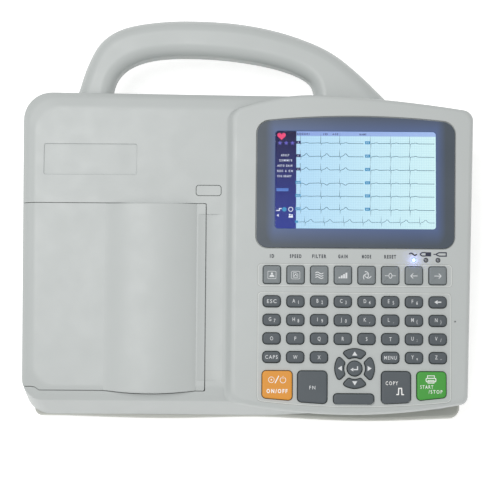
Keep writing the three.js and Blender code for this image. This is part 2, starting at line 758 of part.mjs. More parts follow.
// ---- Assembly ----------------------------------------------------------------------------------
const colours = {
  casing: [0xc6cac6, 0.5, 0],
  bezel: [0x545f6d, 0.35, 0],
  lens: [0x9fb4c6, 0.1, 0],
  screen: [0xbfe3ee, 0.3, 0],
  greyKey: [0x5c636e, 0.6, 0],
  paleKey: [0x878e93, 0.6, 0],
  orangeKey: [0xf0a03a, 0.55, 0],
  greenKey: [0x43a63a, 0.55, 0],
  rubber: [0x2b2c2e, 0.9, 0],
  board: [0x1f5f3a, 0.5, 0],
  steel: [0xa9adb0, 0.35, 0.9],
  brass: [0xb89a4a, 0.35, 0.9],
  black: [0x222326, 0.5, 0],
  paper: [0xf1f0ea, 0.8, 0],
  white: [0xdcdcd4, 0.5, 0],
};

function mesh(name, geometry, colour) {
  const [color, roughness, metalness] = colours[colour];
  const made = new THREE.Mesh(
    geometry.isBufferGeometry ? geometry : geometryOf(geometry),
    new THREE.MeshStandardMaterial({ color, roughness, metalness }),
  );
  made.name = name;
  return made;
}

const machine = new THREE.Group();
const deck = new THREE.Group();
deck.position.set(0, DECK_Y, DECK_Z);
deck.rotation.x = DECK_ANGLE;
machine.add(deck);

// Casings, in the machine's own frame.
machine.add(mesh("upper_housing", upperHousing(), "casing"));
machine.add(mesh("lower_housing", lowerHousing(), "casing"));
machine.add(mesh("handle_upper_shell", handleShell(true), "casing"));
machine.add(mesh("handle_lower_shell", handleShell(false), "casing"));
machine.add(mesh("printer_door", printerDoor(), "casing"));

const feet = { front_left: [-143, -122], front_right: [140, -122], rear_left: [-143, 66], rear_right: [140, 66] };
for (const [where, [x, y]] of Object.entries(feet)) {
  machine.add(mesh(`foot_${where}`, rodZ(x, y, 9, 0, FOOT_HEIGHT - 0.3, 20), "rubber"));
}
const { x0, x1, y0, y1 } = BATTERY_HATCH;
machine.add(mesh("battery_cover", box(x0 + GAP, x1 - GAP, y0 + GAP, y1 - GAP, FOOT_HEIGHT + 0.2, FLOOR_Z), "casing"));
machine.add(mesh("battery_pack", box(x0 + 2, x1 - 2, y0 + 2, y1 - 2, FLOOR_Z + 0.6, 25.5), "black"));
machine.add(mesh("main_board", mainBoard(), "board"));
machine.add(mesh("power_supply", powerSupply(), "board"));
machine.add(mesh("patient_socket", patientSocket(), "steel"));
machine.add(mesh("usb_socket", usbSocket(), "steel"));
machine.add(mesh("mains_inlet", mainsInlet(), "black"));
machine.add(mesh("ground_post", groundPost(), "brass"));
machine.add(mesh("speaker", rodZ(10, 40, 14, 8, 17, 20), "black"));

// Pieces laid out on the deck.
deck.add(mesh("display_bezel", solid(prism(windowOutline(0), -1.4, -0.1)).subtract(solid(lcdBox(0.6, -5, 5))), "bezel"));
deck.add(mesh("display_lens", lcdBox(0.2, -1.5, -0.4), "lens"));
deck.add(mesh("lcd_module", box(12, 152, 121, 211, -11, -2.9), "screen"));
deck.add(mesh("keypad_board", keypadBoard(), "board"));
deck.add(mesh("indicator_guide", indicatorGuide(), "white"));
deck.add(mesh("door_release_button", releaseButton(), "casing"));

const keyColour = (name) => {
  if (name === "key_power") return "orangeKey";
  if (name === "key_start_stop") return "greenKey";
  return functionNames.some((f) => name === `key_${f}`) ? "paleKey" : "greyKey";
};
for (const [name, outline] of Object.entries(singleKeys)) {
  deck.add(mesh(name, keySolid(outline), keyColour(name)));
}
for (const [name, { row, columns }] of Object.entries(strips)) {
  const v = ROW_1_V - row * ROW_PITCH;
  const web = box(column(columns[0]), column(columns.at(-1)), v - 3, v + 3, FLANGE_BOTTOM, FLANGE_TOP);
  const keys = columns.map((c) => solid(keySolid(letterOutline(c, row))));
  deck.add(mesh(name, joined([solid(web), ...keys]), "greyKey"));
}

// Printer.
deck.add(mesh("door_hinge_pin_front", hingePin(true), "steel"));
deck.add(mesh("door_hinge_pin_rear", hingePin(false), "steel"));
deck.add(mesh("platen_roller", platenRoller(), "rubber"));
deck.add(mesh("platen_gear", gear(GEAR.platenTeeth, 0, 2 + 0.3).translate(PLATEN.u, 0, PLATEN.w), "white"));
deck.add(mesh("idler_gear", gear(GEAR.idlerTeeth, 0, 1.5 + 0.3).translate(IDLER.u, 0, IDLER.w), "white"));
deck.add(mesh("idler_shaft", rodY(IDLER.u, IDLER.w, 1.5, GEAR.vFront - 1, 145.2, 12), "steel"));
deck.add(mesh("motor_pinion", motorPinion(), "brass"));
deck.add(mesh("stepper_motor", rodY(PINION.u, PINION.w, 14, 145.5, 163, 20), "steel"));
deck.add(mesh("printer_chassis", printerChassis(), "steel"));
deck.add(mesh("printhead", box(PLATEN.u + PLATEN.radius + 0.3, -30.4, 20, 132.5, -24, -9), "steel"));
deck.add(mesh("paper_tray", paperTray(), "casing"));
deck.add(mesh("paper_roll", paperRoll(), "paper"));
deck.add(mesh("paper_spindle", paperSpindle(), "white"));

export default machine;
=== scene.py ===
"""The looks of a portable electrocardiograph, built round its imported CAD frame.

Shapes are worked out in millimetres and become metres as each mesh is made. Most of the top is laid
out on the deck, the sloping plane of the control panel: u = X, v up the slope, w out of it.
"""
import math
import random

import bmesh
import bpy
from mathutils import Matrix, Vector


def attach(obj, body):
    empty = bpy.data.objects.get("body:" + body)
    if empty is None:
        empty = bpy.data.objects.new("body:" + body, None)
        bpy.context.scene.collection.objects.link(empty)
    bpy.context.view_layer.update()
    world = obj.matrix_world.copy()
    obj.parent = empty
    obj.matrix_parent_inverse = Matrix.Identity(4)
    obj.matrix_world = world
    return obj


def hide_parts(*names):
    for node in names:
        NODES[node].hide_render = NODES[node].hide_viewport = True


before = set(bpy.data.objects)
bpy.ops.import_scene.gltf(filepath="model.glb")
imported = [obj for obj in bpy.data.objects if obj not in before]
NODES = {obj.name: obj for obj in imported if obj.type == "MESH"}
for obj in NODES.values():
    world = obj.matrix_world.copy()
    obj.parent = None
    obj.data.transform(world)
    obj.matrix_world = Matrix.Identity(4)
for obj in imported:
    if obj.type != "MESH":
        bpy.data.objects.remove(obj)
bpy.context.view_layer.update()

# ---- The deck -----------------------------------------------------------------------------------
MM = 0.001
DECK_ANGLE = math.radians(8)
DECK_Y = -140  # the deck's origin
DECK_Z = 51
WALL = 2.5
PARTING_Z = 15  # where the two housings meet
FLOOR_Z = 5.5  # the lower housing's floor, inside
CREASE_W = -10  # the crease round the case at the top of its walls
PLATEAU_W = -5  # the case's top beside the panel
KEY_TOP = 2.2
PANEL_U = 82  # the panel's centre line

WORLD = Matrix.Scale(MM, 4)
DECK = (
    Matrix.Scale(MM, 4)
    @ Matrix.Translation((0, DECK_Y, DECK_Z))
    @ Matrix.Rotation(DECK_ANGLE, 4, "X")
)


def lerp(a, b, t):
    return a + (b - a) * t


def smooth(t):
    t = min(max(t, 0), 1)
    return t * t * (3 - 2 * t)


def flat(z):
    return lambda x, y: z


def deck_plane(w):
    def height(x, y):
        return DECK_Z + (y - DECK_Y) * math.tan(DECK_ANGLE) + w / math.cos(DECK_ANGLE)

    return height


# ---- Materials ----------------------------------------------------------------------------------
class Nodes:
    """A material's node tree. In `add` and `set`, a value is a node's setting, an input's number or a socket."""

    def __init__(self, name):
        self.material = bpy.data.materials.new(name)
        self.material.use_nodes = True
        self.tree = self.material.node_tree
        self.shader = self.tree.nodes["Principled BSDF"]
        self.coords = self.add("TexCoord").outputs["Object"]

    def feed(self, node, values):
        for key, value in values.items():
            if hasattr(node, key):
                setattr(node, key, value)
                continue
            target = node.inputs[key.replace("_", " ")]
            if isinstance(value, bpy.types.NodeSocket):
                self.tree.links.new(value, target)
            else:
                if isinstance(value, tuple) and len(value) < len(target.default_value):
                    value = (*value, 1)
                target.default_value = value

    def add(self, kind, **values):
        node = self.tree.nodes.new("ShaderNode" + kind)
        self.feed(node, values)
        return node

    def set(self, **values):
        self.feed(self.shader, values)
        return self.material

    def math(self, operation, *terms):
        node = self.add("Math", operation=operation)
        for target, term in zip(node.inputs, terms):
            if isinstance(term, bpy.types.NodeSocket):
                self.tree.links.new(term, target)
            else:
                target.default_value = term
        return node.outputs[0]

    def noise(self, scale, detail=2.0, roughness=0.5, vector=None):
        return self.add("TexNoise", Scale=scale, Detail=detail, Roughness=roughness,
                        Vector=vector or self.coords).outputs["Fac"]

    def span(self, source, start, end, low=0, high=1):
        return self.add("MapRange", From_Min=start, From_Max=end, To_Min=low, To_Max=high,
                        Value=source).outputs["Result"]

    def spread(self, source, low=0, high=1):
        """Noise stays mostly between 0.3 and 0.7: this runs it from low to high."""
        return self.span(source, 0.3, 0.7, low, high)

    def mix(self, factor, a, b, blend="MIX"):
        return self.add("Mix", data_type="RGBA", blend_type=blend, Factor=factor, A=a, B=b).outputs["Result"]

    def uneven(self, low, high, scale=14, detail=3):
        """A colour that wanders slightly between two others."""
        return self.mix(self.spread(self.noise(scale, detail)), low, high)

    def bump(self, source, strength, distance):
        return self.add("Bump", Strength=strength, Distance=distance, Height=source).outputs["Normal"]


def shade(color, factor):
    return tuple(min(c * factor, 1) for c in color)


def moulded(name, color, roughness, grain=1500, depth=0.25, vary=0.04, **values):
    """Moulded plastic or rubber: spark-eroded grain, slightly uneven colour and gloss."""
    m = Nodes(name)
    return m.set(
        Base_Color=m.uneven(shade(color, 1 - vary), shade(color, 1 + vary)),
        Roughness=m.spread(m.noise(60, 4), roughness - 0.05, roughness + 0.05),
        Normal=m.bump(m.noise(grain, 3, 0.6), depth, 0.00012), **values,
    )


def printed(name, color, vary=0.02):
    """Printing ink: as moulded plastic, but finer."""
    return moulded(name, color, 0.5, 3000, 0.05, vary)


def metal(name, color, roughness):
    """Plated metal with fine brush marks."""
    m = Nodes(name)
    brushed = m.add("Mapping", Vector=m.coords, Scale=(40, 40, 1800)).outputs["Vector"]
    marks = m.noise(1, 4, vector=brushed)
    return m.set(
        Base_Color=m.uneven(shade(color, 0.92), shade(color, 1.05), 25), Metallic=1.0,
        Roughness=m.spread(marks, roughness - 0.08, roughness + 0.1), Normal=m.bump(marks, 0.12, 0.0001),
    )


def board_material():
    """A circuit board: green lacquer over faint copper tracks."""
    m = Nodes("circuit_board")
    tracks = m.add("TexBrick", Scale=110, Mortar_Size=0.06, Vector=m.coords, Color1=(0.012, 0.10, 0.04),
                   Color2=(0.016, 0.125, 0.05), Mortar=(0.05, 0.2, 0.07))
    return m.set(Base_Color=tracks.outputs["Color"], Roughness=m.spread(m.noise(80), 0.3, 0.45))


def paper_material():
    """Chart paper with its fine red grid."""
    m = Nodes("chart_paper")
    grid = m.add("TexBrick", offset=0.0, Scale=200, Brick_Width=0.2, Row_Height=0.2, Mortar_Size=0.012,
                 Color1=(0.88, 0.86, 0.82), Color2=(0.89, 0.87, 0.83), Mortar=(0.86, 0.45, 0.42), Vector=m.coords)
    return m.set(Base_Color=grid.outputs["Color"], Normal=m.bump(m.noise(900, 4), 0.2, 0.00008), Roughness=0.75)


def wound_paper_material():
    """The end of a paper roll, with its edges showing as fine bands."""
    m = Nodes("wound_paper")
    return m.set(Base_Color=m.uneven((0.74, 0.72, 0.67), (0.9, 0.88, 0.83), 700, 2), Roughness=0.85)


def glow(name, color, strength=1.0):
    """Something lit from behind, slightly uneven."""
    m = Nodes(name)
    return m.set(Emission_Color=m.uneven(shade(color, 0.94), color, 18, 1), Emission_Strength=strength,
                 Base_Color=(0.01, 0.01, 0.01), Roughness=0.6, Specular_IOR_Level=0.1)


def glass_material():
    m = Nodes("window_glass")
    return m.set(Roughness=m.spread(m.noise(30), 0.03, 0.07), Base_Color=(0.97, 0.99, 1), Transmission_Weight=1.0,
                 IOR=1.25)


CASING = moulded("casing_plastic", (0.495, 0.523, 0.52), 0.42, 1700, 0.22, 0.015)
CASING_LOW = moulded("lower_casing_plastic", (0.47, 0.482, 0.448), 0.5, 1700, 0.25, 0.02)
GREY_KEY = moulded("grey_silicone", (0.08, 0.095, 0.108), 0.55, 2600, 0.2, 0.05)
PALE_KEY = moulded("pale_silicone", (0.2, 0.225, 0.238), 0.55, 2600, 0.2, 0.05)
ORANGE_KEY = moulded("orange_silicone", (0.74, 0.3, 0.03), 0.5, 2600, 0.2, 0.04)
GREEN_KEY = moulded("green_silicone", (0.05, 0.33, 0.037), 0.5, 2600, 0.2, 0.04)
RUBBER = moulded("black_rubber", (0.022, 0.022, 0.024), 0.8, 1200, 0.4, 0.15)
BLACK = moulded("black_moulding", (0.018, 0.019, 0.022), 0.45, 1800, 0.25, 0.1)
WHITE = moulded("natural_acetal", (0.72, 0.72, 0.66), 0.4, 1400, 0.1, 0.03)
INK_WHITE = printed("legend_white", (0.7, 0.72, 0.74))
INK_BRIGHT = printed("legend_bright", (0.93, 0.93, 0.92))
INK_DARK = printed("legend_dark", (0.03, 0.035, 0.05), 0.05)
# painted shade: the dark line of the panel's grooves, which are not cut
PAINTED_GROOVE_SHADE = moulded("painted_groove_shade", (0.36, 0.38, 0.37), 0.6, 2500, 0.1, 0.03)
LED_OFF = moulded("lamp_off", (0.16, 0.17, 0.19), 0.25, 2500, 0.05, 0.05)
LABEL = moulded("blank_label", (0.66, 0.67, 0.67), 0.35, 2500, 0.04, 0.02)
STEEL = metal("plated_steel", (0.55, 0.56, 0.57), 0.32)
DARK_STEEL = metal("dark_screw_steel", (0.25, 0.25, 0.26), 0.35)
SHEET_STEEL = metal("folded_sheet_steel", (0.36, 0.37, 0.38), 0.55)
BRASS = metal("plated_brass", (0.66, 0.5, 0.22), 0.3)
BOARD = board_material()
PAPER = paper_material()
WOUND = wound_paper_material()
GLASS = glass_material()
# painted highlight: the light line along the panel's grooves
PAINTED_GROOVE_HIGHLIGHT = moulded("painted_groove_highlight", (0.78, 0.8, 0.78), 0.5, 2500, 0.1, 0.02)
INK_NAVY = printed("legend_navy", (0.014, 0.018, 0.045), 0.05)
LAMP_ON = glow("lamp_lit", (0.55, 1.0, 0.95), 3.0)
# painted halo: the lit lamp's light drawn as a glowing ring on the panel round it
PAINTED_HALO = glow("painted_lamp_halo", (0.42, 0.55, 0.95))
SCREEN_WHITE = glow("screen_white", (0.85, 0.9, 1.0))
TRACE = glow("screen_curve_ink", (0.05, 0.14, 0.23))
TAG_NAVY = glow("screen_tag_navy", (0.02, 0.025, 0.12))
TAG_CYAN = glow("screen_tag_cyan", (0.06, 0.32, 0.58))
BLOCK_BLUE = glow("screen_block_blue", (0.10, 0.22, 0.62))
HEART = glow("screen_heart_pink", (0.9, 0.07, 0.2))
STAR = glow("screen_star_violet", (0.14, 0.12, 0.55))


# ---- Meshes -------------------------------------------------------------------------------------
def new_object(name, rings, matrix=DECK, material=CASING, angle=32):
    """A solid lofted through the rings."""
    return mesh_object(name, *loft(rings), matrix, material, angle)


def mesh_object(name, verts, faces, matrix=DECK, material=CASING, angle=32):
    mesh = bpy.data.meshes.new(name)
    mesh.from_pydata([matrix @ Vector(v) for v in verts], [], faces)
    mesh.validate()
    mesh.materials.append(material)
    return soften(linked(name, mesh), angle)


def linked(name, data):
    obj = bpy.data.objects.new(name, data)
    bpy.context.scene.collection.objects.link(obj)
    return obj


def cutter(rings, matrix=DECK):
    return new_object("cutter", rings, matrix)


def soften(obj, angle=32):
    """Smooth shading that keeps real edges sharp and flat faces flat."""
    bm = bmesh.new()
    bm.from_mesh(obj.data)
    bmesh.ops.recalc_face_normals(bm, faces=bm.faces)
    limit = math.radians(angle)
    for face in bm.faces:
        face.smooth = True
    for edge in bm.edges:
        edge.smooth = len(edge.link_faces) == 2 and edge.calc_face_angle(0) < limit
    bm.to_mesh(obj.data)
    bm.free()
    weighted = obj.modifiers.new("weighted_normals", "WEIGHTED_NORMAL")
    weighted.keep_sharp = True
    weighted.weight = 100
    return obj


def boolean(obj, cutters, operation="DIFFERENCE"):
    """Applies booleans one by one, and removes the cutters."""
    obj.modifiers.clear()
    for tool in cutters:
        tool.modifiers.clear()
        modifier = obj.modifiers.new("cut", "BOOLEAN")
        modifier.operation = operation
        modifier.solver = "MANIFOLD"
        modifier.object = tool
    graph = bpy.context.evaluated_depsgraph_get()
    made = bpy.data.meshes.new_from_object(obj.evaluated_get(graph))
    obj.modifiers.clear()
    obj.data = made
    for tool in cutters:
        bpy.data.objects.remove(tool)
    return soften(obj)


def joined(name, objects, angle=32):
    """Several objects' meshes as one object, each keeping its own material."""
    bm = bmesh.new()
    materials = []
    for obj in objects:
        before = len(bm.faces)
        bm.from_mesh(obj.data)
        bm.faces.ensure_lookup_table()
        for face in bm.faces[before:]:
            material = obj.data.materials[face.material_index]
            if material not in materials:
                materials.append(material)
            face.material_index = materials.index(material)
    mesh = bpy.data.meshes.new(name)
    bm.to_mesh(mesh)
    bm.free()
    for obj in objects:
        bpy.data.objects.remove(obj)
    for material in materials:
        mesh.materials.append(material)
    return soften(linked(name, mesh), angle)


def bevelled_cad(node, material, width):
    """A CAD node that is kept, with its edges softened by a bevel."""
    obj = NODES[node]
    obj.data.materials.clear()
    obj.data.materials.append(material)
    bevel = obj.modifiers.new("soft_edges", "BEVEL")
    bevel.width = width * MM
    bevel.segments = 2
    bevel.limit_method = "ANGLE"
    bevel.angle_limit = math.radians(40)


def loft(rings, close_ends=True):
    """Points and faces of a skin through rings of equal length."""
    count = len(rings[0])
    verts = [tuple(p) for ring in rings for p in ring]
    faces = []
    for level in range(len(rings) - 1):
        a = level * count
        b = a + count
        for i in range(count):
            j = (i + 1) % count
            faces.append((a + i, a + j, b + j, b + i))
    if close_ends:
        faces.append(tuple(reversed(range(count))))
        faces.append(tuple(range((len(rings) - 1) * count, len(rings) * count)))
    return verts, faces


def curve_point(a, control, b, t):
    """A point on the curve from a to b that leaves and arrives along the lines to `control`."""
    return tuple(a * (1 - t) ** 2 + control * 2 * t * (1 - t) + b * t * t)


def filleted(rings, radii, steps=5):
    """Rings with each inner one rounded off: every point gets an arc of about its ring's radius."""
    out = [rings[0]]
    for before, ring, after, radius in zip(rings, rings[1:], rings[2:], radii):
        if radius <= 0:
            out.append(ring)
            continue
        for step in range(steps + 1):
            t = step / steps
            arc = []
            for p, q, r in zip(before, ring, after):
                corner = Vector(q)
                down, up = Vector(p) - corner, Vector(r) - corner
                a, b = (corner + leg * min(radius / max(leg.length, 1e-6), 0.49) for leg in (down, up))
                arc.append(curve_point(a, corner, b, t))
            out.append(arc)
    out.append(rings[-1])
    return out


def ring_at(points, height):
    return [(x, y, height(x, y)) for x, y in points]


def plan(left, right, front, rear, radii, left_front=None, right_front=None, edge_steps=44, corner_steps=10):
    """A four-sided outline with round corners; front(x) and rear(x) shape two of its edges."""
    left_front = left if left_front is None else left_front
    right_front = right if right_front is None else right_front
    corners = [
        Vector((left_front, front(left_front))),
        Vector((right_front, front(right_front))),
        Vector((right, rear(right))),
        Vector((left, rear(left))),
    ]

    def on_edge(i, inward, height):
        x = corners[i].x + inward * radii[i]
        return Vector((x, height(x))) - corners[i]

    def on_side(i, other):
        return (corners[other] - corners[i]).normalized() * radii[i]

    legs = [
        (on_side(0, 3), on_edge(0, 1, front)),
        (on_edge(1, -1, front), on_side(1, 2)),
        (on_side(2, 1), on_edge(2, -1, rear)),
        (on_edge(3, 1, rear), on_side(3, 0)),
    ]
    arcs = []
    for corner, (back, on) in zip(corners, legs):
        turns = [step / corner_steps * math.pi / 2 for step in range(corner_steps + 1)]
        arcs.append([corner + back * (1 - math.sin(a)) + on * (1 - math.cos(a)) for a in turns])

    def edge(start, end, height):
        xs = [lerp(start.x, end.x, step / edge_steps) for step in range(1, edge_steps)]
        return [Vector((x, height(x))) for x in xs]

    points = arcs[0] + edge(arcs[0][-1], arcs[1][0], front) + arcs[1]
    points += arcs[2] + edge(arcs[2][-1], arcs[3][0], rear) + arcs[3]
    return [(p.x, p.y) for p in points]


def bow(x0, x1, height):
    return lambda x: 4 * height * (x - x0) * (x1 - x) / (x1 - x0) ** 2


def rect(u0, u1, v0, v1):
    return [(u0, v0), (u1, v0), (u1, v1), (u0, v1)]


def key_outline(u0, u1, top, left, right, corner, steps=7):
    """A rounded key whose lower edge may slope from left to right."""
    slope = (right - left) / (u1 - u0)
    points = []
    for cu, cv, start in (
        (u1 - corner, right + corner - slope * corner, -90),
        (u1 - corner, top - corner, 0),
        (u0 + corner, top - corner, 90),
        (u0 + corner, left + corner + slope * corner, 180),
    ):
        for step in range(steps + 1):
            a = math.radians(start + 90 * step / steps)
            points.append((cu + corner * math.cos(a), cv + corner * math.sin(a)))
    return points


def round_rect(u0, u1, v0, v1, r, steps=6):
    return key_outline(u0, u1, v1, v0, v0, r, steps)


def circle(u, v, r, sides=32):
    return [(u + r * math.cos(i * math.tau / sides), v + r * math.sin(i * math.tau / sides)) for i in range(sides)]


def offset(points, distance):
    """A closed counter-clockwise outline moved outwards along its corners' normals."""
    out = []
    count = len(points)
    for i, (x, y) in enumerate(points):
        ax, ay = points[i - 1]
        bx, by = points[(i + 1) % count]
        before = Vector((y - ay, ax - x))
        after = Vector((by - y, x - bx))
        if before.length < 1e-9:
            before = after
        if after.length < 1e-9:
            after = before
        normal = before.normalized() + after.normalized()
        normal = normal.normalized() if normal.length > 1e-6 else after.normalized()
        reach = distance / max(normal.dot(after.normalized()), 0.5)
        out.append((x + normal.x * reach, y + normal.y * reach))
    return out


def at(points, w):
    return [(x, y, w) for x, y in points]


def stack(outline, levels):
    """Rings of one outline, one for each (offset, w)."""
    return [at(offset(outline, grow), w) for grow, w in levels]


def prism(name, outline, w0, w1, edge=0.25, matrix=DECK, material=CASING):
    """An outline drawn up from w0 to w1, its edges rounded."""
    levels = [(-edge, w0), (0, w0 + edge), (0, w1 - edge), (-edge * 0.3, w1 - edge * 0.3), (-edge, w1)]
    return new_object(name, stack(outline, levels), matrix, material)


def box_cutter(u0, u1, v0, v1, w0, w1, matrix=DECK):
    outline = rect(u0, u1, v0, v1)
    return cutter([at(outline, w0), at(outline, w1)], matrix)


def well_cutter(outline, bottom, surface, lip=0.32, clearance=0.38):
    """A hole through a skin whose mouth is rounded over by `lip`."""
    levels = [
        (clearance, bottom),
        (clearance, surface - lip),
        (clearance + lip * 0.08, surface - lip * 0.6),
        (clearance + lip * 0.35, surface - lip * 0.22),
        (clearance + lip, surface),
        (clearance + lip, surface + 4),
    ]
    return cutter(stack(outline, levels))


def rod(name, start, end, radius, material, edge=0.3, sides=32, matrix=DECK, inner=0):
    """A round bar, or a tube if inner is set, with its rims rounded."""
    start, end = Vector(start), Vector(end)
    axis = (end - start).normalized()
    side = axis.orthogonal().normalized()
    other = axis.cross(side)
    length = (end - start).length

    def ring(r, along):
        return [tuple(start + axis * along + (side * math.cos(a) + other * math.sin(a)) * r)
                for a in (i * math.tau / sides for i in range(sides))]

    levels = [(radius - edge, 0), (radius - edge * 0.3, edge * 0.3), (radius, edge), (radius, length - edge),
              (radius - edge * 0.3, length - edge * 0.3), (radius - edge, length)]
    if inner:
        levels += [(inner + edge, length), (inner, length - edge), (inner, edge), (inner + edge, 0)]
    rings = [ring(r, along) for r, along in levels]
    verts, faces = loft(rings + [rings[0]], False) if inner else loft(rings)
    obj = mesh_object(name, verts, faces, matrix, material)
    if inner:
        bm = bmesh.new()
        bm.from_mesh(obj.data)
        bmesh.ops.remove_doubles(bm, verts=bm.verts, dist=1e-7)
        bm.to_mesh(obj.data)
        bm.free()
    return obj


CAP_SHARE = 0.729  # how high the built-in font's capitals stand, as a share of its size


class Ink:
    """Thin shapes gathered into one object: printed lettering, icons and lines, and painted shade, highlight and halo
    marks.
    """

    def __init__(self, name, w, material, thick=0.06, matrix=DECK):
        self.name, self.w, self.material, self.thick, self.matrix = name, w, material, thick, matrix
        self.verts, self.faces = [], []

    def shape(self, outline):
        base = len(self.verts)
        count = len(outline)
        self.verts += at(outline, self.w) + at(outline, self.w + self.thick)
        self.faces.append(tuple(base + count + i for i in range(count)))
        for i in range(count):
            j = (i + 1) % count
            self.faces.append((base + i, base + j, base + count + j, base + count + i))

    def rect(self, u0, u1, v0, v1):
        self.shape(rect(u0, u1, v0, v1))

    def line(self, points, width, closed=False):
        """A ribbon along a path, mitred at its corners."""
        count = len(points)
        left, right = [], []
        for i, point in enumerate(points):
            here = Vector(point)
            before = Vector(points[i - 1]) if (closed or i) else None
            after = Vector(points[(i + 1) % count]) if (closed or i + 1 < count) else None
            runs = []
            if before is not None and (here - before).length > 1e-9:
                runs.append((here - before).normalized())
            if after is not None and (after - here).length > 1e-9:
                runs.append((after - here).normalized())
            along = sum(runs, Vector((0, 0)))
            along = along.normalized() if along.length > 1e-6 else runs[0]
            normal = Vector((-along.y, along.x))
            reach = width / 2 / max(normal.dot(Vector((-runs[0].y, runs[0].x))), 0.4)
            left.append(here + normal * reach)
            right.append(here - normal * reach)
        for i in range(count if closed else count - 1):
            j = (i + 1) % count
            self.shape([tuple(right[i]), tuple(right[j]), tuple(left[j]), tuple(left[i])])

    def text(self, words, u, v, cap, width=None, bold=0.0, spacing=1.3):
        """Words centred on (u, v), with capitals `cap` high, squeezed or stretched to `width`."""
        curve = bpy.data.curves.new("lettering", "FONT")
        curve.body = words
        curve.size = cap / CAP_SHARE
        curve.offset = bold
        curve.space_character = spacing
        curve.resolution_u = 3
        obj = linked("lettering", curve)
        graph = bpy.context.evaluated_depsgraph_get()
        mesh = bpy.data.meshes.new_from_object(obj.evaluated_get(graph))
        xs = [p.co.x for p in mesh.vertices]
        middle, span = (min(xs) + max(xs)) / 2, max(xs) - min(xs)
        stretch = width / span if width else 0.74
        base = len(self.verts)
        self.verts += [(u + (p.co.x - middle) * stretch, v + p.co.y - cap / 2, self.w + self.thick)
                       for p in mesh.vertices]
        self.faces += [tuple(base + i for i in face.vertices) for face in mesh.polygons]
        bpy.data.objects.remove(obj)
        bpy.data.curves.remove(curve)
        bpy.data.meshes.remove(mesh)

    def disc(self, u, v, r, sides=24):
        self.shape(circle(u, v, r, sides))

    def ring(self, u, v, r, width, sides=28):
        self.line(circle(u, v, r, sides), width, closed=True)

    def make(self, body):
        mesh = bpy.data.meshes.new(self.name)
        mesh.from_pydata([self.matrix @ Vector(v) for v in self.verts], [], self.faces)
        mesh.validate()
        mesh.materials.append(self.material)
        return place(linked(self.name, mesh), body)


def patch(name, w, material, thick, *outlines):
    """A printed piece of closed shapes that stays with the machine."""
    ink = Ink(name, w, material, thick)
    for outline in outlines:
        ink.shape(outline)
    ink.make("machine")


SLOTS = {
    "casing": (CASING, CASING_LOW, PAINTED_GROOVE_SHADE, PAINTED_GROOVE_HIGHLIGHT, LABEL), "grey_key": (GREY_KEY,), "pale_key": (PALE_KEY,),
    "orange_key": (ORANGE_KEY,), "green_key": (GREEN_KEY,), "rubber": (RUBBER,), "board": (BOARD,),
    "steel": (STEEL, DARK_STEEL, SHEET_STEEL), "brass": (BRASS,), "black": (BLACK, INK_DARK, INK_NAVY),
    "white": (WHITE, INK_WHITE, INK_BRIGHT), "paper": (PAPER, WOUND), "lens": (GLASS, LED_OFF, LAMP_ON, PAINTED_HALO),
}


def finish(obj):
    """Looks for the slot that holds the piece's first material, and returns the piece unchanged."""
    material = obj.data.materials[0]
    for name, materials in SLOTS.items():
        if material in materials:
            return obj
    return obj


def place(obj, body, *replaced):
    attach(obj, body)
    finish(obj)
    if replaced:
        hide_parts(*replaced)
    return obj


# ---- The case's own surfaces --------------------------------------------------------------------
REAR = {"x": 18, "y": 91.5, "curve": 0.00052, "lift": 0.0105}
SWEEP = {"from": 55, "span": 70, "drop": 14}


def rear_line(x):
    past = x - REAR["x"]
    return REAR["y"] - REAR["curve"] * past**2 if past > 0 else REAR["y"] - REAR["lift"] * past


def panel_rear(x):
    short = max(SWEEP["from"] - x, 0)
    return rear_line(x) - SWEEP["drop"] * (short / SWEEP["span"]) ** 2


BODY_RINGS = [
    # left front, left rear, right front, right rear, front, rear, corner radius, height
    (-170.4, -172.4, 163, 167, -148.2, -3, 19.5, None),
    (-170.8, -173.6, 165, 171, -142, 0, 16, CREASE_W),
    (-167, -170, 165, 168, -138, -4.5, 20, CREASE_W + 3.2),
    (-161.5, -163.5, 160, 163, -133, -12.5, 16, PLATEAU_W),
    (-150, -152, 150, 152, -122, -24, 10, PLATEAU_W),
]


def body_rings(grow, foot):
    """The case's outlines from its foot up; a wall that is cut out leaves a thicker rim at the foot."""
    rings = []
    skin = grow
    for left_front, left, right_front, right, front, rear, radius, w in BODY_RINGS:
        grow = skin - 3 if w is None and skin < -2 else skin
        outline = plan(
            left - grow, right + grow,
            lambda x, f=front: f - grow + 5 * smooth((x - 10) / 110),
            lambda x, r=rear: rear_line(x) + r + grow,
            [max(r + grow, 2) for r in (radius, radius - 4, 8, max(radius, 22))],
            left_front - grow, right_front + grow,
        )
        rings.append(ring_at(outline, flat(foot) if w is None else deck_plane(w + grow)))
    return rings


def body_solid(grow=0, foot=PARTING_Z):
    rings = filleted(body_rings(grow, foot), (1.2, 2.2, 2.4), 5 if grow == 0 else 2)
    return new_object("body", rings, WORLD)


def body_inside():
    return body_solid(-WALL, PARTING_Z - 3)


# How far in from the panel's outline, its left edge, height over the panel's face
PANEL_RINGS = [(7, -8, -19), (0.8, -13, -8), (0, -17.2, -5.25), (0, -15.7, -4.75), (0.1, -14.5, -3.8),
               (0.45, -13.1, -2.2), (1.3, -11.7, -0.8), (3, -9, -0.06), (10, -2, 0)]
PANEL_INSIDE = [(7, -8, -19), (0.8, -13, -8), (0, -13.5, -5), (0.3, -12.3, 0), (10, -2, 0)]


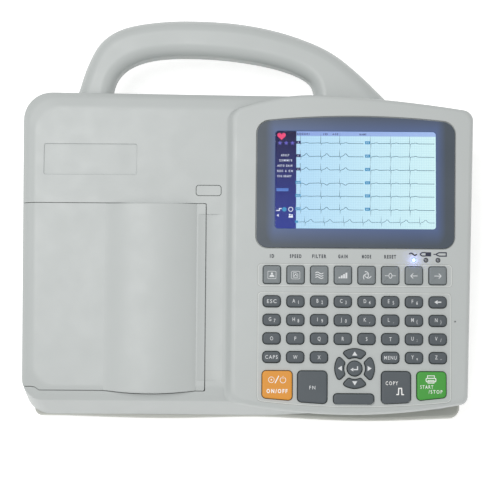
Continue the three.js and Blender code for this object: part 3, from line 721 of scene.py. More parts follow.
def panel_rings(grow):
    front_bow = bow(-13.5, 168, 8.9)
    rings = []
    for inset, left, w in PANEL_INSIDE if grow < 0 else PANEL_RINGS:
        outline = plan(
            left - grow, 173.5 - inset + grow,
            lambda x, i=inset: -143.5 + i - grow - front_bow(x),
            lambda x, i=inset: panel_rear(x) - 0.7 - i + grow,
            (7, 5, 7, 7), left - grow, 168 - inset + grow,
        )
        rings.append(ring_at(outline, deck_plane(w + (grow if w > -5 else 0))))
    return rings


def panel_solid(grow=0):
    radii = (2, 1.4, 3) if grow < 0 else (2, 0.6, 0.7, 0.8, 0.8, 0.8, 1)
    return new_object("panel", filleted(panel_rings(grow), radii, 3), WORLD)


# ---- Keys: outlines -----------------------------------------------------------------------------
KEY_PITCH = 18
ROW_PITCH = 14.1
ROW_1_V = 72.2
FUNCTION_V = 92.5
NAV = {"v": 21.6, "button": 6.1, "inner": 7.9, "outer": 15.4}
FUNCTIONS = ["id", "speed", "filter", "gain", "mode", "reset", "left", "right"]


def column(i):
    return PANEL_U + (i - 3.5) * KEY_PITCH


def plain_key(u, v, width, height, corner):
    return key_outline(u - width / 2, u + width / 2, v + height / 2, v - height / 2, v - height / 2, corner)


BIG_KEYS = {  # left, right, top, lower edge at its left and at its right, corner radius
    "key_power": (11.6, 35.2, 20, -1.4, -3.3, 3.4),
    "key_fn": (38.4, 61.6, 20, -4.2, -5.6, 3.6),
    "key_space": (65.6, 97.0, 2.9, -5.9, -5.9, 3.2),
    "key_copy": (101.8, 124.8, 20, -5.6, -4.2, 3.6),
    "key_start_stop": (128.6, 151.6, 20, -2.8, -0.2, 3.4),
}


def bezier(a, control, b, steps=5):
    """Points on the corner curve from a to b, both ends included."""
    a, control, b = Vector(a), Vector(control), Vector(b)
    return [curve_point(a, control, b, i / steps) for i in range(steps + 1)]


def arrow_outline(turn):
    """One of the four arrow keys: a sector of a ring with round corners, centred on the angle `turn`."""
    outer, inner, gap, big, small = NAV["outer"], NAV["inner"], 1.45, 2.8, 1.5

    def polar(r, a):
        return (PANEL_U + r * math.cos(a + turn), NAV["v"] + r * math.sin(a + turn))

    def side(r):
        return math.pi / 4 - math.asin(gap / r)

    wide, narrow = side(outer) - big / outer, side(inner) - small / inner
    points = [polar(outer, lerp(-wide, wide, i / 14)) for i in range(14)]
    points += bezier(polar(outer, wide), polar(outer, side(outer)), polar(outer - big, side(outer - big)))
    points += bezier(polar(inner + small, side(inner + small)), polar(inner, side(inner)), polar(inner, narrow))
    points += [polar(inner, lerp(narrow, -narrow, i / 8)) for i in range(1, 8)]
    points += bezier(polar(inner, -narrow), polar(inner, -side(inner)), polar(inner + small, -side(inner + small)))
    points += bezier(polar(outer - big, -side(outer - big)), polar(outer, -side(outer)), polar(outer, -wide))[:-1]
    return points


KEY_TRIM = -0.42  # the caps' straight sides, against the outlines above

KEYS = {f"key_{name}": plain_key(column(i), FUNCTION_V, 14, 14.4, 2.2) for i, name in enumerate(FUNCTIONS)}
KEYS.update({name: key_outline(*sizes) for name, sizes in BIG_KEYS.items()})
for name, half_turns in {"nav_right": 0, "nav_up": 0.5, "nav_left": 1, "nav_down": 1.5}.items():
    KEYS[name] = arrow_outline(half_turns * math.pi)
KEYS["nav_enter"] = circle(PANEL_U, NAV["v"], NAV["button"], 40)
KEYS = {name: offset(outline, KEY_TRIM) for name, outline in KEYS.items()}

ROWS = {
    "keys_row_1": (0, range(8)),
    "keys_row_2": (1, range(8)),
    "keys_row_3": (2, range(8)),
    "keys_row_4_left": (3, range(3)),
    "keys_row_4_right": (3, range(5, 8)),
}


def letter_key(col, row):
    return plain_key(column(col), ROW_1_V - row * ROW_PITCH, 14 + 2 * KEY_TRIM, 9.3 + 2 * KEY_TRIM, 2.9)


# ---- Upper housing ------------------------------------------------------------------------------
WINDOW = {"left": 6.8, "right": 159.2, "left_front": 6.6, "right_front": 158.2, "front": 113, "rear": 210.5}
LCD = (21.2, 144.1, 128.2, 203.3)  # the lit area's left, right, lower and upper edges
LAMPS = [(u, 104.4) for u in (127, 136.2, 145.4)]
RELEASE = key_outline(-39.3, -20.3, 161.4, 153.6, 153.6, 2)
DOOR = {"free": -31.9, "front": 4.2, "rear": 147.1, "hinge_u": -168.9, "hinge_w": -25, "barrel": 2.2}
KNUCKLES = ((22.1, 27.6), (123.4, 128.9))  # where the case's hinge knuckles are along the slope
PLATEN = (-40.4, -15.5)  # the platen's and the roll's axes, as (u, w)
ROLL = (-74, -24)
SCOOP = (-37.5, -18.5, 11.8, 139.2, 0.9, PLATEAU_W)
PATIENT = (-12, 33)  # the right side's sockets, as (y, z)
USB = (-70, 31)
INLET = (12, 32)  # the rear's, as (x, z)
GROUND = (-22, 32)
SIDE_WALL = (150, 190)  # what a hole cut through each wall spans
REAR_WALL = (70, 110)
HUMP = {"left": -109, "right": -38.5, "height": 5.8, "bulge": 2.4}


def window_outline(grow):
    arch = bow(WINDOW["left"], WINDOW["right"], 4.5)
    return plan(
        WINDOW["left"] - grow, WINDOW["right"] + grow,
        lambda x: WINDOW["front"] - grow,
        lambda x: WINDOW["rear"] + grow + arch(x),
        [9 + grow] * 4, WINDOW["left_front"] - grow, WINDOW["right_front"] + grow, 30, 10,
    )


def hump_height(u):
    """Height of the door's swelling over the flat of the door: soft on the left, firmer on the right."""
    if not HUMP["left"] < u < HUMP["right"]:
        return 0
    t = (u - HUMP["left"]) / (HUMP["right"] - HUMP["left"])
    crown = 4 * t * (1 - t)
    return HUMP["height"] * crown ** lerp(1.25, 0.8, smooth(t * 1.4))


def hump_front(u):
    """How far the swelling's foot stands in front of the door's straight front edge."""
    if not HUMP["left"] < u < HUMP["right"]:
        return 0
    t = (u - HUMP["left"]) / (HUMP["right"] - HUMP["left"])
    return HUMP["bulge"] * (4 * t * (1 - t)) ** 1.1


def door_outline(grow):
    """The door seen square to the deck, with the step near its front left corner."""
    front, rear, free = DOOR["front"] - grow, DOOR["rear"] + grow, DOOR["free"] + grow * 1.6
    points = [(-185, front + 2.8), (-164, front + 2.8), (-160.5, front + 2.2), (-157.5, front)]
    for i in range(41):
        u = lerp(HUMP["left"], HUMP["right"], i / 40)
        points.append((u, front - hump_front(u)))
    points += [(free - 0.8, front), (free, front + 0.8), (free, rear - 0.8), (free - 0.8, rear), (-185, rear)]
    return points


def door_cutter(grow, low, high=20):
    return cutter([at(door_outline(grow), low), at(door_outline(grow), high)])


def along(axis, v0, v1):
    """The two ends of an axis that runs up the slope, or to the rear."""
    return (axis[0], v0, axis[1]), (axis[0], v1, axis[1])


def round_cutter(start, end, radius, matrix=DECK):
    return rod("cutter", start, end, radius, CASING, edge=0.01, sides=28, matrix=matrix)


def recess_cutter(u0, u1, v0, v1, r, depth, surface, slope=0.4):
    """A shallow sunk rectangle whose floor runs out to its sides in a small fillet."""
    rings = []
    for grow, w in ((-slope, surface - depth), (-slope * 0.3, surface - depth + 0.1), (0, surface - depth * 0.45),
                    (0.12, surface), (0.12, surface + 4)):
        rings.append(at(round_rect(u0 - grow, u1 + grow, v0 - grow, v1 + grow, r + grow + slope), w))
    return cutter(rings)


def scoop_cutter(u0, u1, v0, v1, depth, surface):
    """A shallow trough, hollow across u and square at its ends."""
    section = [(lerp(u0, u1, i / 24), surface - depth * (1 - (2 * i / 24 - 1) ** 2)) for i in range(25)]
    section += [(u1, surface + 4), (u0, surface + 4)]
    return cutter([[(u, v, w) for u, w in section] for v in (v1, v0)])


def build_case():
    case = body_solid()
    cuts = [
        body_inside(),
        panel_solid(-WALL),
        door_cutter(0.5, DOOR["hinge_w"] - 4.4),
        recess_cutter(-156.6, -85.2, 169.2, 193.2, 0.8, 1.1, PLATEAU_W, 0.6),
        scoop_cutter(*SCOOP),
        well_cutter(RELEASE, -12, PLATEAU_W, 0.35, 0.25),
    ]
    for (y, z), a, b in ((PATIENT, 16, 6), (USB, 7.2, 3.8)):
        cuts.append(box_cutter(*SIDE_WALL, y - a, y + a, z - b, z + b, WORLD))
    x, z = INLET
    for a, b, start in ((14.5, 10.5, REAR_WALL[0]), (16.4, 12.4, 90)):
        cuts.append(box_cutter(x - a, x + a, start, REAR_WALL[1], z - b, z + b, WORLD))
    cuts.append(round_cutter(*along(GROUND, *REAR_WALL), 3.4, WORLD))
    cuts += [box_cutter(x, x + 2.6, *REAR_WALL, 26, 40, WORLD) for x in range(-92, -38, 6)]
    boolean(case, cuts)
    case.name = "upper_case"
    place(case, "machine", "upper_housing")

    panel = panel_solid()
    cuts = [body_inside(), panel_solid(-WALL)]
    cuts += [well_cutter(outline, -6, 0) for outline in KEYS.values()]
    for row, cols in ROWS.values():
        cuts += [well_cutter(letter_key(col, row), -6, 0) for col in cols]
    cuts += [well_cutter(circle(u, v, 1.5, 24), -6, 0, 0.3, 0.1) for u, v in LAMPS]
    cuts += [
        cutter([at(window_outline(grow), w) for grow, w in ((0.3, -1.7), (0.3, -0.4), (0.6, 0.02), (0.6, 4))]),
        box_cutter(LCD[0] - 3, LCD[1] + 3, LCD[2] - 3, LCD[3] + 3, -8, 3),
        round_cutter((158.3, 57.6, -1.6), (158.3, 57.6, 3), 0.75),
    ]
    boolean(panel, cuts)
    panel.name = "control_panel"
    place(panel, "machine")


# ---- Lower housing, feet and handle -------------------------------------------------------------
HATCH = (40, 124, -62, 6)
SCREWS = [(-150, 70), (-150, -128), (20, -128), (150, -128), (150, 60), (0, 74)]


def swell(x, centre, reach, height):
    t = min(abs(x - centre) / reach, 1)
    return height * math.cos(t * math.pi / 2) ** 2


def tray_ring(grow, inset, z, corners=(5, 8, 8, 20), tuck=0):
    """The lower housing's outline at one height; `tuck` draws its front back at the right, as above it."""
    g = grow - inset
    outline = plan(-168 - g, 161 + g,
                   lambda x: -148.4 - g - swell(x, -69, 90, 1.8) * (1 - tuck) - swell(x, 91, 95, 3) * (1 - tuck)
                   + tuck * 6.5 * smooth((x - 10) / 110),
                   lambda x: rear_line(x) - 4 + g, [max(r + g, 2) for r in corners], -163.4 - g, 165.5 - 3 * tuck + g)
    return ring_at(outline, flat(z))


def build_lower():
    rings = [tray_ring(0, inset, z) for inset, z in ((12, 3), (4, 3), (0, 6.5), (0, 13), (1.6, 14.6))]
    outside = new_object("lower_case", filleted(rings, (1, 2, 1.2, 0), 4), WORLD, CASING_LOW)
    shape = (34, 30, 16, 26), 1
    inner = [tray_ring(-WALL - 1, 2, FLOOR_Z, *shape), tray_ring(-WALL - 1, 0, FLOOR_Z + 3, *shape),
             tray_ring(-WALL - 1, 0, 20, *shape)]
    x0, x1, y0, y1 = HATCH
    hatch = round_rect(x0 - 0.5, x1 + 0.5, y0 - 0.5, y1 + 0.5, 2.5)
    cutters = [cutter(inner, WORLD), cutter([at(hatch, 0), at(hatch, 8)], WORLD)]
    for i in range(8):
        x = -130 + i * 7
        vent, mouth = round_rect(x, x + 2.5, 30, 66, 1.2), round_rect(x - 0.6, x + 3.1, 29.4, 66.6, 1.8)
        cutters.append(cutter([at(mouth, 0), at(vent, 3.8), at(vent, 8)], WORLD))
    cutters += [cutter([at(circle(x, y, 4.6), 1), at(circle(x, y, 4.2), 4.4)], WORLD) for x, y in SCREWS]
    cutters.append(cutter([at(round_rect(-82, -12, -72, -22, 2), 1),
                           at(round_rect(-81.6, -12.4, -71.6, -22.4, 2), 3.35)], WORLD))
    boolean(outside, cutters)
    place(outside, "machine", "lower_housing")
    label = prism("rating_label", round_rect(-80.8, -13.2, -70.8, -23.2, 1.6), 3.05, 3.5, 0.1, WORLD, LABEL)
    place(label, "machine")
    lid = prism("battery_lid", round_rect(x0, x1, y0, y1, 2), 3.2, 5.6, 0.5, WORLD, CASING_LOW)
    grooves = [round_rect(x0 + 34, x1 - 34, y0 + 5 + i * 3, y0 + 6.2 + i * 3, 0.5) for i in range(5)]
    boolean(lid, [cutter([at(groove, 2), at(groove, 3.8)], WORLD) for groove in grooves])
    place(lid, "machine", "battery_cover")


def build_screws():
    """Cross-head screws sunk in the floor of the lower housing."""
    pieces = []
    for x, y in SCREWS:
        rings = [at(circle(x, y, r), z) for r, z in ((3.4, 4.35), (3.4, 3.3), (2.2, 2.95), (0.5, 2.9))]
        head = new_object("screw", filleted(rings, (0.3, 0.4), 3), WORLD, DARK_STEEL)
        boolean(head, [box_cutter(x - 1.9, x + 1.9, y - 0.4, y + 0.4, 1.5, 3.7, WORLD),
                       box_cutter(x - 0.4, x + 0.4, y - 1.9, y + 1.9, 1.5, 3.7, WORLD)])
        pieces.append(head)
    place(joined("base_screws", pieces), "machine")


def build_feet():
    for where, (x, y) in {"front_left": (-143, -122), "front_right": (140, -122),
                          "rear_left": (-143, 66), "rear_right": (140, 66)}.items():
        rings = [at(circle(x, y, r), z) for r, z in ((6.2, 0.5), (7, 0), (8.6, 0), (9, 2.7))]
        foot = new_object(f"foot_pad_{where}", filleted(rings, (0.4, 0.8), 4), WORLD, RUBBER)
        place(foot, "machine", f"foot_{where}")


HANDLE = {"top": -13, "split": -27, "bottom": -41, "round": 10}
HANDLE_OUTER = [(-136, 222), (-134.6, 231), (-131.8, 237), (-125.6, 256.4), (-115.2, 275.4), (-98, 286.8),
                (-70, 292.2), (-40, 293.2), (-5, 290.8), (29, 283.6), (60.5, 271.2), (83, 254.8), (106.5, 232),
                (116, 222)]
HANDLE_INNER = [(50.5, 222), (50.8, 238), (44.6, 247.6), (26, 255.8), (-2, 261.8), (-32, 264.8), (-61, 264.8),
                (-81.8, 261.4), (-96.4, 253.8), (-104.2, 241.5), (-106.2, 222)]


def spline(points, steps):
    """A smooth curve through the points, evenly stepped."""
    dense = []
    for i in range(len(points) - 1):
        p0 = Vector(points[max(i - 1, 0)])
        p1, p2 = Vector(points[i]), Vector(points[i + 1])
        p3 = Vector(points[min(i + 2, len(points) - 1)])
        for k in range(12):
            t = k / 12
            dense.append(0.5 * (2 * p1 + (p2 - p0) * t + (2 * p0 - 5 * p1 + 4 * p2 - p3) * t**2
                                + (3 * p1 - p0 - 3 * p2 + p3) * t**3))
    dense.append(Vector(points[-1]))
    lengths = [0]
    for a, b in zip(dense, dense[1:]):
        lengths.append(lengths[-1] + (b - a).length)
    out, k = [], 0
    for step in range(steps + 1):
        target = lengths[-1] * step / steps
        while k < len(dense) - 2 and lengths[k + 1] < target:
            k += 1
        share = (target - lengths[k]) / max(lengths[k + 1] - lengths[k], 1e-9)
        out.append(tuple(dense[k].lerp(dense[k + 1], share)))
    return out


def shifted(points, distance):
    """An open path moved sideways, to its left."""
    out = []
    for i, point in enumerate(points):
        along = (Vector(points[min(i + 1, len(points) - 1)]) - Vector(points[max(i - 1, 0)])).normalized()
        out.append((point[0] - along.y * distance, point[1] + along.x * distance))
    return out


def build_handle():
    outer, inner = spline(HANDLE_OUTER, 90), spline(HANDLE_INNER, 70)

    def ring(grow, w):  # counter-clockwise
        return at(list(reversed(shifted(outer, grow) + shifted(inner, grow))), w)

    def half(name, low, high, round_low, round_high, node):
        r = HANDLE["round"]
        levels = []
        turns = [i / 8 * math.pi / 2 for i in range(9)]
        if round_low:
            levels += [(-r * (1 - math.sin(a)), low + r * (1 - math.cos(a))) for a in turns]
        else:
            levels += [(-0.35, low), (0, low + 0.35)]
        if round_high:
            levels += [(-r * (1 - math.cos(a)), high - r * (1 - math.sin(a))) for a in turns]
        else:
            levels += [(0, high - 0.35), (-0.35, high)]
        shell = new_object(name, [ring(*level) for level in levels])
        boolean(shell, [body_solid(0.25, -5), panel_solid(0.25)])
        place(shell, "machine", node)

    half("handle_top_half", HANDLE["split"] + 0.1, HANDLE["top"], False, True, "handle_upper_shell")
    half("handle_bottom_half", HANDLE["bottom"], HANDLE["split"] - 0.1, True, False, "handle_lower_shell")


# ---- Printer door -------------------------------------------------------------------------------
def hump_solid(u0, u1, front, rear, drop, bottom, roll):
    """The swelling as a solid: its top is the swelling lowered by `drop`, rolled off at both ends."""
    columns = 48
    depths = [0, roll * 0.06, roll * 0.25, roll * 0.55, roll]
    us = [lerp(u0, u1, i / columns) for i in range(columns + 1)]
    rows = [("front", d) for d in depths] + [("mid", k / 10) for k in range(1, 10)]
    rows += [("rear", d) for d in reversed(depths)]
    verts = []
    for kind, value in rows:
        for u in us:
            start, end = front(u), rear
            if kind == "front":
                v, depth = start + value, value
            elif kind == "rear":
                v, depth = end - value, value
            else:
                v, depth = lerp(start + roll, end - roll, value), roll
            fall = roll - math.sqrt(max(roll**2 - (roll - depth) ** 2, 0)) if roll else 0
            height = hump_height(u)
            verts.append((u, v, PLATEAU_W - 0.02 - drop + height - fall * min(height / 2, 1)))
    count = columns + 1
    base = len(verts)
    for index in (0, len(rows) - 1):
        verts += [(u, verts[index * count + i][1], bottom) for i, u in enumerate(us)]
    faces = []
    for row in range(len(rows) - 1):
        for i in range(columns):
            a = row * count + i
            faces.append((a, a + 1, a + 1 + count, a + count))
    top_front, top_rear = 0, (len(rows) - 1) * count
    low_front, low_rear = base, base + count
    for i in range(columns):
        faces.append((low_front + i, low_front + i + 1, top_front + i + 1, top_front + i))
        faces.append((top_rear + i, top_rear + i + 1, low_rear + i + 1, low_rear + i))
        faces.append((low_rear + i, low_rear + i + 1, low_front + i + 1, low_front + i))
    left = [row * count for row in range(len(rows))]
    right = [row * count + columns for row in range(len(rows))]
    faces.append(tuple([low_front] + left + [low_rear]))
    faces.append(tuple([low_rear + columns] + list(reversed(right)) + [low_front + columns]))
    return mesh_object("cutter", verts, faces)


def build_door():
    hinge_u, low = hinge = DOOR["hinge_u"], DOOR["hinge_w"]
    door = body_solid()
    boolean(door, [door_cutter(0, low, 15)], "INTERSECT")
    boolean(door, [body_inside()])
    swelling = hump_solid(HUMP["left"] + 0.3, HUMP["right"] - 0.3, lambda u: DOOR["front"] - hump_front(u) + 0.02,
                          DOOR["rear"] - 0.02, 0, -7.2, 0.9)
    boolean(door, [swelling], "UNION")
    boolean(door, [hump_solid(-101, -47, lambda u: 8, 143, 2.4, -14, 0), scoop_cutter(*SCOOP)])
    for v0, v1 in KNUCKLES:
        boolean(door, [box_cutter(-180, hinge_u + 6, v0 - 0.4, v1 + 0.4, low - 5, low + 2.6)])

    inside = [prism("rib", rect(-160, -104, v - 0.7, v + 0.7), -10.4, -7.3, 0.2) for v in (45, 75.5, 106)]
    for v in (17, 133.4):
        lug = prism("lug", rect(-45.4, -35.4, v, v + 2), -20, -6.6, 0.3)
        inside.append(boolean(lug, [round_cutter(*along(PLATEN, v - 2, v + 4), 2.4)]))
    for i, piece in enumerate(inside):
        piece.name = f"door_inner_{i}"
        place(piece, "door")

    barrel = rod("barrel", *along(hinge, 28, 123), DOOR["barrel"], CASING)
    place(boolean(barrel, [round_cutter(*along(hinge, v0, v0 + 14), 1.4) for v0 in (20, 117)]), "door")
    place(joined("door_skin", [door]), "door", "printer_door")
    for i, (v0, v1) in enumerate(KNUCKLES):
        knuckle = rod("knuckle", *along(hinge, v0, v1), DOOR["barrel"], CASING, inner=1.4)
        web = prism("web", rect(hinge_u - 0.6, hinge_u + 2.2, v0, v1), low - 7, low - 1.7, 0.2)
        place(joined(f"hinge_knuckle_{i}", [knuckle, web]), "machine")


def build_rebate():
    """The ledge that the door's edges close on."""
    ledge = body_solid(-WALL - 0.5)
    boolean(ledge, [body_solid(-WALL - 2)])
    boolean(ledge, [door_cutter(1.4, DOOR["hinge_w"] + 4, 10)], "INTERSECT")
    boolean(ledge, [door_cutter(-1.1, -40, 12), box_cutter(-180, -163, 20, 131, -40, 10)])
    ledge.name = "door_rebate"
    place(ledge, "machine")


# ---- Keys ---------------------------------------------------------------------------------------
CROWN = 0.08
LEGEND_W = KEY_TOP + CROWN + 0.01


def key_mesh(name, outline, material, edge=0.75, crown=1.1):
    """A silicone key: straight shank, rounded shoulder and a faintly crowned top."""
    turns = [i / 5 * math.pi / 2 for i in range(6)]
    levels = [(0, -3), (-0.05, 0)]
    levels += [(-0.12 - edge * (1 - math.cos(a)), KEY_TOP - edge + edge * math.sin(a)) for a in turns]
    levels += [(-edge - 0.5, KEY_TOP + CROWN * 0.6), (-edge - crown, KEY_TOP + CROWN)]
    return new_object(name, stack(outline, levels), DECK, material, 40)


def build_keys():
    for name, outline in KEYS.items():
        material = {"key_power": ORANGE_KEY, "key_start_stop": GREEN_KEY}.get(name, GREY_KEY)
        if name.startswith("key_") and name[4:] in FUNCTIONS:
            material = PALE_KEY
        nav = name.startswith("nav")
        piece = key_mesh(f"{name}_cap", outline, material, 0.5 if nav else 0.75, 0.7 if nav else 1.1)
        place(piece, name, name)
    for row, (index, cols) in ROWS.items():
        caps = [key_mesh("cap", letter_key(col, index), GREY_KEY) for col in cols]
        v = ROW_1_V - index * ROW_PITCH
        caps.append(prism("web", round_rect(column(cols[0]), column(cols[-1]), v - 3, v + 3, 1), -3.8, -2.8, 0.2,
                          DECK, GREY_KEY))
        place(joined(f"{row}_caps", caps, 40), row, row)


build_case()
build_lower()
build_screws()
build_feet()
build_handle()
build_door()
build_rebate()
place(prism("release_button", RELEASE, -12, PLATEAU_W - 0.1, 0.45), "door_release", "door_release_button")
build_keys()


# ---- Legends ------------------------------------------------------------------------------------
LEGEND_THICK = 0.03
LETTERS = {  # each key's legend and the smaller one beside it
    0: [("ESC", ""), ("A", "1"), ("B", "2"), ("C", "3"), ("D", "4"), ("E", "5"), ("F", "6"), ("<", "")],
    1: [("G", "7"), ("H", "8"), ("I", "9"), ("J", "0"), ("K", ","), ("L", "."), ("M", "("), ("N", ")")],
    2: [("O", ""), ("P", ""), ("Q", ""), ("R", ""), ("S", ""), ("T", ""), ("U", ":"), ("V", "/")],
    3: [("CAPS", ""), ("W", ""), ("X", ""), None, None, ("MENU", ""), ("Y", "v"), ("Z", "-")],
}


def legend(name, material=None):
    return Ink(f"{name}_legend", LEGEND_W, material or INK_WHITE, LEGEND_THICK)


def arrow(ink, u, v, direction, length=5.2, head=1.7, width=0.5):
    tip, tail = u + direction * length / 2, u - direction * length / 2
    ink.line([(tail, v), (tip - direction * 0.2, v)], width)
    ink.line([(tip - direction * head, v + head), (tip, v), (tip - direction * head, v - head)], width)


def draw_letters():
    for row, (index, cols) in ROWS.items():
        ink = legend(row)
        v = ROW_1_V - index * ROW_PITCH
        for col in cols:
            main, second = LETTERS[index][col]
            u = column(col)
            if main == "<":
                ink.line([(u + 2.6, v), (u - 0.6, v)], 0.95)
                ink.shape([(u - 2.7, v), (u - 0.2, v - 1.55), (u - 0.2, v + 1.55)])
            elif len(main) > 1:
                ink.text(main, u, v, 2.9, {"ESC": 7.2, "CAPS": 9.4, "MENU": 9.4}[main], 0.03)
            elif second:
                ink.text(main, u - 1.3, v + 0.5, 3.0, None, 0.03)
                ink.text(second, u + 2.2, v - 0.6, 2.7, None, 0.03)
            else:
                ink.text(main, u, v, 3.0, None, 0.03)
        ink.make(row)


def draw_functions():
    v = FUNCTION_V - 0.4
    for i, name in enumerate(FUNCTIONS):
        ink, u = legend(f"key_{name}"), column(i)
        if name == "id":
            ink.line(round_rect(u - 3.1, u + 3.1, v - 2.8, v + 2.8, 0.4, 3), 0.32, True)
            ink.disc(u, v + 1.15, 0.8, 16)
            ink.shape([(u - 2, v - 1.5), (u + 2, v - 1.5), (u + 1.5, v - 0.3), (u + 0.7, v + 0.25),
                       (u - 0.7, v + 0.25), (u - 1.5, v - 0.3)])
        elif name == "speed":
            ink.line(round_rect(u - 3.2, u + 3.2, v - 2.9, v + 2.9, 0.9, 3), 0.32, True)
            ink.line([(u - 1.7, v + 1.9), (u - 1.7, v - 1.7), (u + 1.7, v - 1.7), (u + 1.7, v + 0.6),
                      (u + 0.4, v + 1.9), (u - 1.7, v + 1.9)], 0.35)
            ink.line([(u - 1.2, v - 0.9), (u, v + 0.9), (u + 1.1, v - 0.9)], 0.45)
        elif name == "filter":
            for k in (-1.75, 0, 1.75):
                wave = [(u - 3 + 6 * s / 16, v + k + 0.65 * math.sin(s / 16 * math.tau)) for s in range(17)]
                ink.line(wave, 0.62)
        elif name == "gain":
            for k in range(4):
                x, y, tall = u - 3.4 + k * 1.75, v - 2.2, 1.3 + k * 1.05
                ink.shape([(x, y), (x + 1.4, y), (x + 1.4, y + tall), (x, y - 0.3 + tall)])
        elif name == "mode":
            ink.ring(u, v, 1.35, 0.5)
            for k in range(3):
                start = k * math.tau / 3 + 0.5
                arm = [(1.5 + 1.9 * s / 8, start + s * 0.19) for s in range(9)]
                ink.line([(u + r * math.cos(a), v + r * math.sin(a)) for r, a in arm], 0.6)
        elif name == "reset":
            ink.line([(u - 4.2, v), (u - 1.25, v)], 0.42)
            ink.line([(u + 1.25, v), (u + 4.2, v)], 0.42)
            ink.line([(u + 1.15 * math.cos(a), v + 1.85 * math.sin(a)) for a in
                      (s / 20 * math.tau for s in range(20))], 0.5, True)
        else:
            arrow(ink, u, v, 1 if name == "right" else -1, 5.2, 1.9, 0.55)
        ink.make(f"key_{name}")


def draw_big_keys():
    u, v = 23.4, 8.6
    ink = legend("key_power", INK_BRIGHT)
    ink.ring(u - 4.4, v + 4.0, 2.15, 0.4)
    ink.disc(u - 4.4, v + 4.0, 0.55, 16)
    ink.line([(u - 1.6, v + 1.4), (u + 1.2, v + 7.0)], 0.75)
    ink.line([(u + 4.4 + 2.15 * math.sin(a), v + 3.8 + 2.15 * math.cos(a)) for a in
              (0.5 + s / 22 * (math.tau - 1) for s in range(23))], 0.4)
    ink.line([(u + 4.4, v + 4.6), (u + 4.4, v + 6.9)], 0.36)
    ink.text("ON/OFF", u - 0.1, v - 4.4, 3.0, 15.8, 0.16, 1.45)
    ink.make("key_power")

    ink = legend("key_fn")
    ink.text("FN", 50, 7.0, 2.8, 4.5, 0.02)
    ink.make("key_fn")

    u, v = 112.7, 7.5
    ink = legend("key_copy", INK_BRIGHT)
    ink.text("COPY", u - 2.7, v + 3.2, 2.9, 9.3, 0.03, 1.4)
    ink.line([(u + 0.7, v - 5.4), (u + 2.3, v - 5.4), (u + 2.5, v - 0.7), (u + 4.7, v - 0.7), (u + 4.9, v - 5.4),
              (u + 6.5, v - 5.4)], 0.8)
    ink.make("key_copy")

    u, v = 139.6, 9
    ink = legend("key_start_stop", INK_BRIGHT)
    ink.line([(u - 2.6, v + 5.6), (u - 2.6, v + 7.4), (u + 2.6, v + 7.4), (u + 2.6, v + 5.6)], 0.5)
    ink.line(round_rect(u - 3.7, u + 3.7, v + 2.9, v + 5.5, 0.8, 3), 0.6, True)
    ink.line([(u - 2.3, v + 3.9), (u - 2.3, v + 1.9), (u + 2.3, v + 1.9), (u + 2.3, v + 3.9)], 0.5, True)
    ink.text("START", u - 3.2, v - 1.0, 2.7, 9.8, 0.04, 1.4)
    ink.text("/STOP", u + 3.4, v - 4.6, 2.7, 10.4, 0.04, 1.4)
    ink.make("key_start_stop")


def draw_arrows():
    for name, angle in (("nav_right", 0), ("nav_up", 90), ("nav_left", 180), ("nav_down", 270)):
        cos, sin = math.cos(math.radians(angle)), math.sin(math.radians(angle))
        ink = legend(name)
        ink.shape([(PANEL_U + x * cos - y * sin, NAV["v"] + x * sin + y * cos)
                   for x, y in ((12.8, 0), (9.7, 1.95), (9.7, -1.95))])
        ink.make(name)
    ink = legend("nav_enter")
    u, v = PANEL_U - 0.2, NAV["v"]
    ink.line([(u - 1.4, v - 0.9), (u + 2.3, v - 0.9), (u + 2.3, v + 1.6)], 0.85)
    ink.shape([(u - 3.1, v - 0.9), (u - 0.9, v - 2.3), (u - 0.9, v + 0.5)])
    ink.make("nav_enter")


# ---- Marks on the panel -------------------------------------------------------------------------
def draw_panel():
    # The group grooves are not cut: each is a painted shade line with a painted highlight line just inside it.
    shadow, shine = Ink("panel_painted_groove_shade", 0.0, PAINTED_GROOVE_SHADE, 0.02), Ink("panel_painted_groove_highlights", 0.0, PAINTED_GROOVE_HIGHLIGHT, 0.015)
    groups = [round_rect(8.1, 156.1, 83.7, 101, 3, 6)]
    lip = []
    for i in range(41):
        u = lerp(11.2, 152.1, i / 40)
        t = (u - 8.2) / (155.1 - 8.2)
        lip.append((u, -3.4 - 4 * 4.3 * t * (1 - t)))
    upper_corners = round_rect(8.2, 155.1, 0, 79.2, 2.6, 6)[7:21]
    groups.append(lip + [(154.6, -2.4), (155.1, 0)] + upper_corners + [(8.2, 0), (8.8, -2.6)])
    for group in groups:
        shadow.line(group, 0.42, True)
        shine.line(offset(group, -0.38), 0.3, True)
    shadow.make("machine")
    shine.make("machine")

    ink = Ink("panel_labels", 0.0, INK_DARK, 0.02)
    widths = [3.3, 8.9, 10.8, 7.2, 7.0, 9.0]
    for i, words in enumerate(["ID", "SPEED", "FILTER", "GAIN", "MODE", "RESET"]):
        ink.text(words, column(i), 106.9, 2.6, widths[i], 0.2, 1.5)
    ink.make("machine")

    ink = Ink("lamp_icons", 0.0, INK_NAVY, 0.02)
    ink.line([(126.4 - 2.9 + 5.8 * s / 18, 108.9 + 0.85 * math.sin(s / 18 * math.tau)) for s in range(19)], 1.05)
    ink.line([(135.9, 110.2), (133.4, 110.2), (132, 109.3), (132, 108.5), (133.4, 107.6), (135.9, 107.6)], 0.9)
    ink.rect(135.9, 140.2, 107.3, 110.5)
    ink.line([(142.0, 108.9), (143.9, 108.9)], 0.7)
    ink.line([(151.7, 110.2), (146.2, 110.2), (144.4, 109.3), (144.4, 108.5), (146.2, 107.6), (151.7, 107.6)],
             0.9, True)
    ink.make("machine")


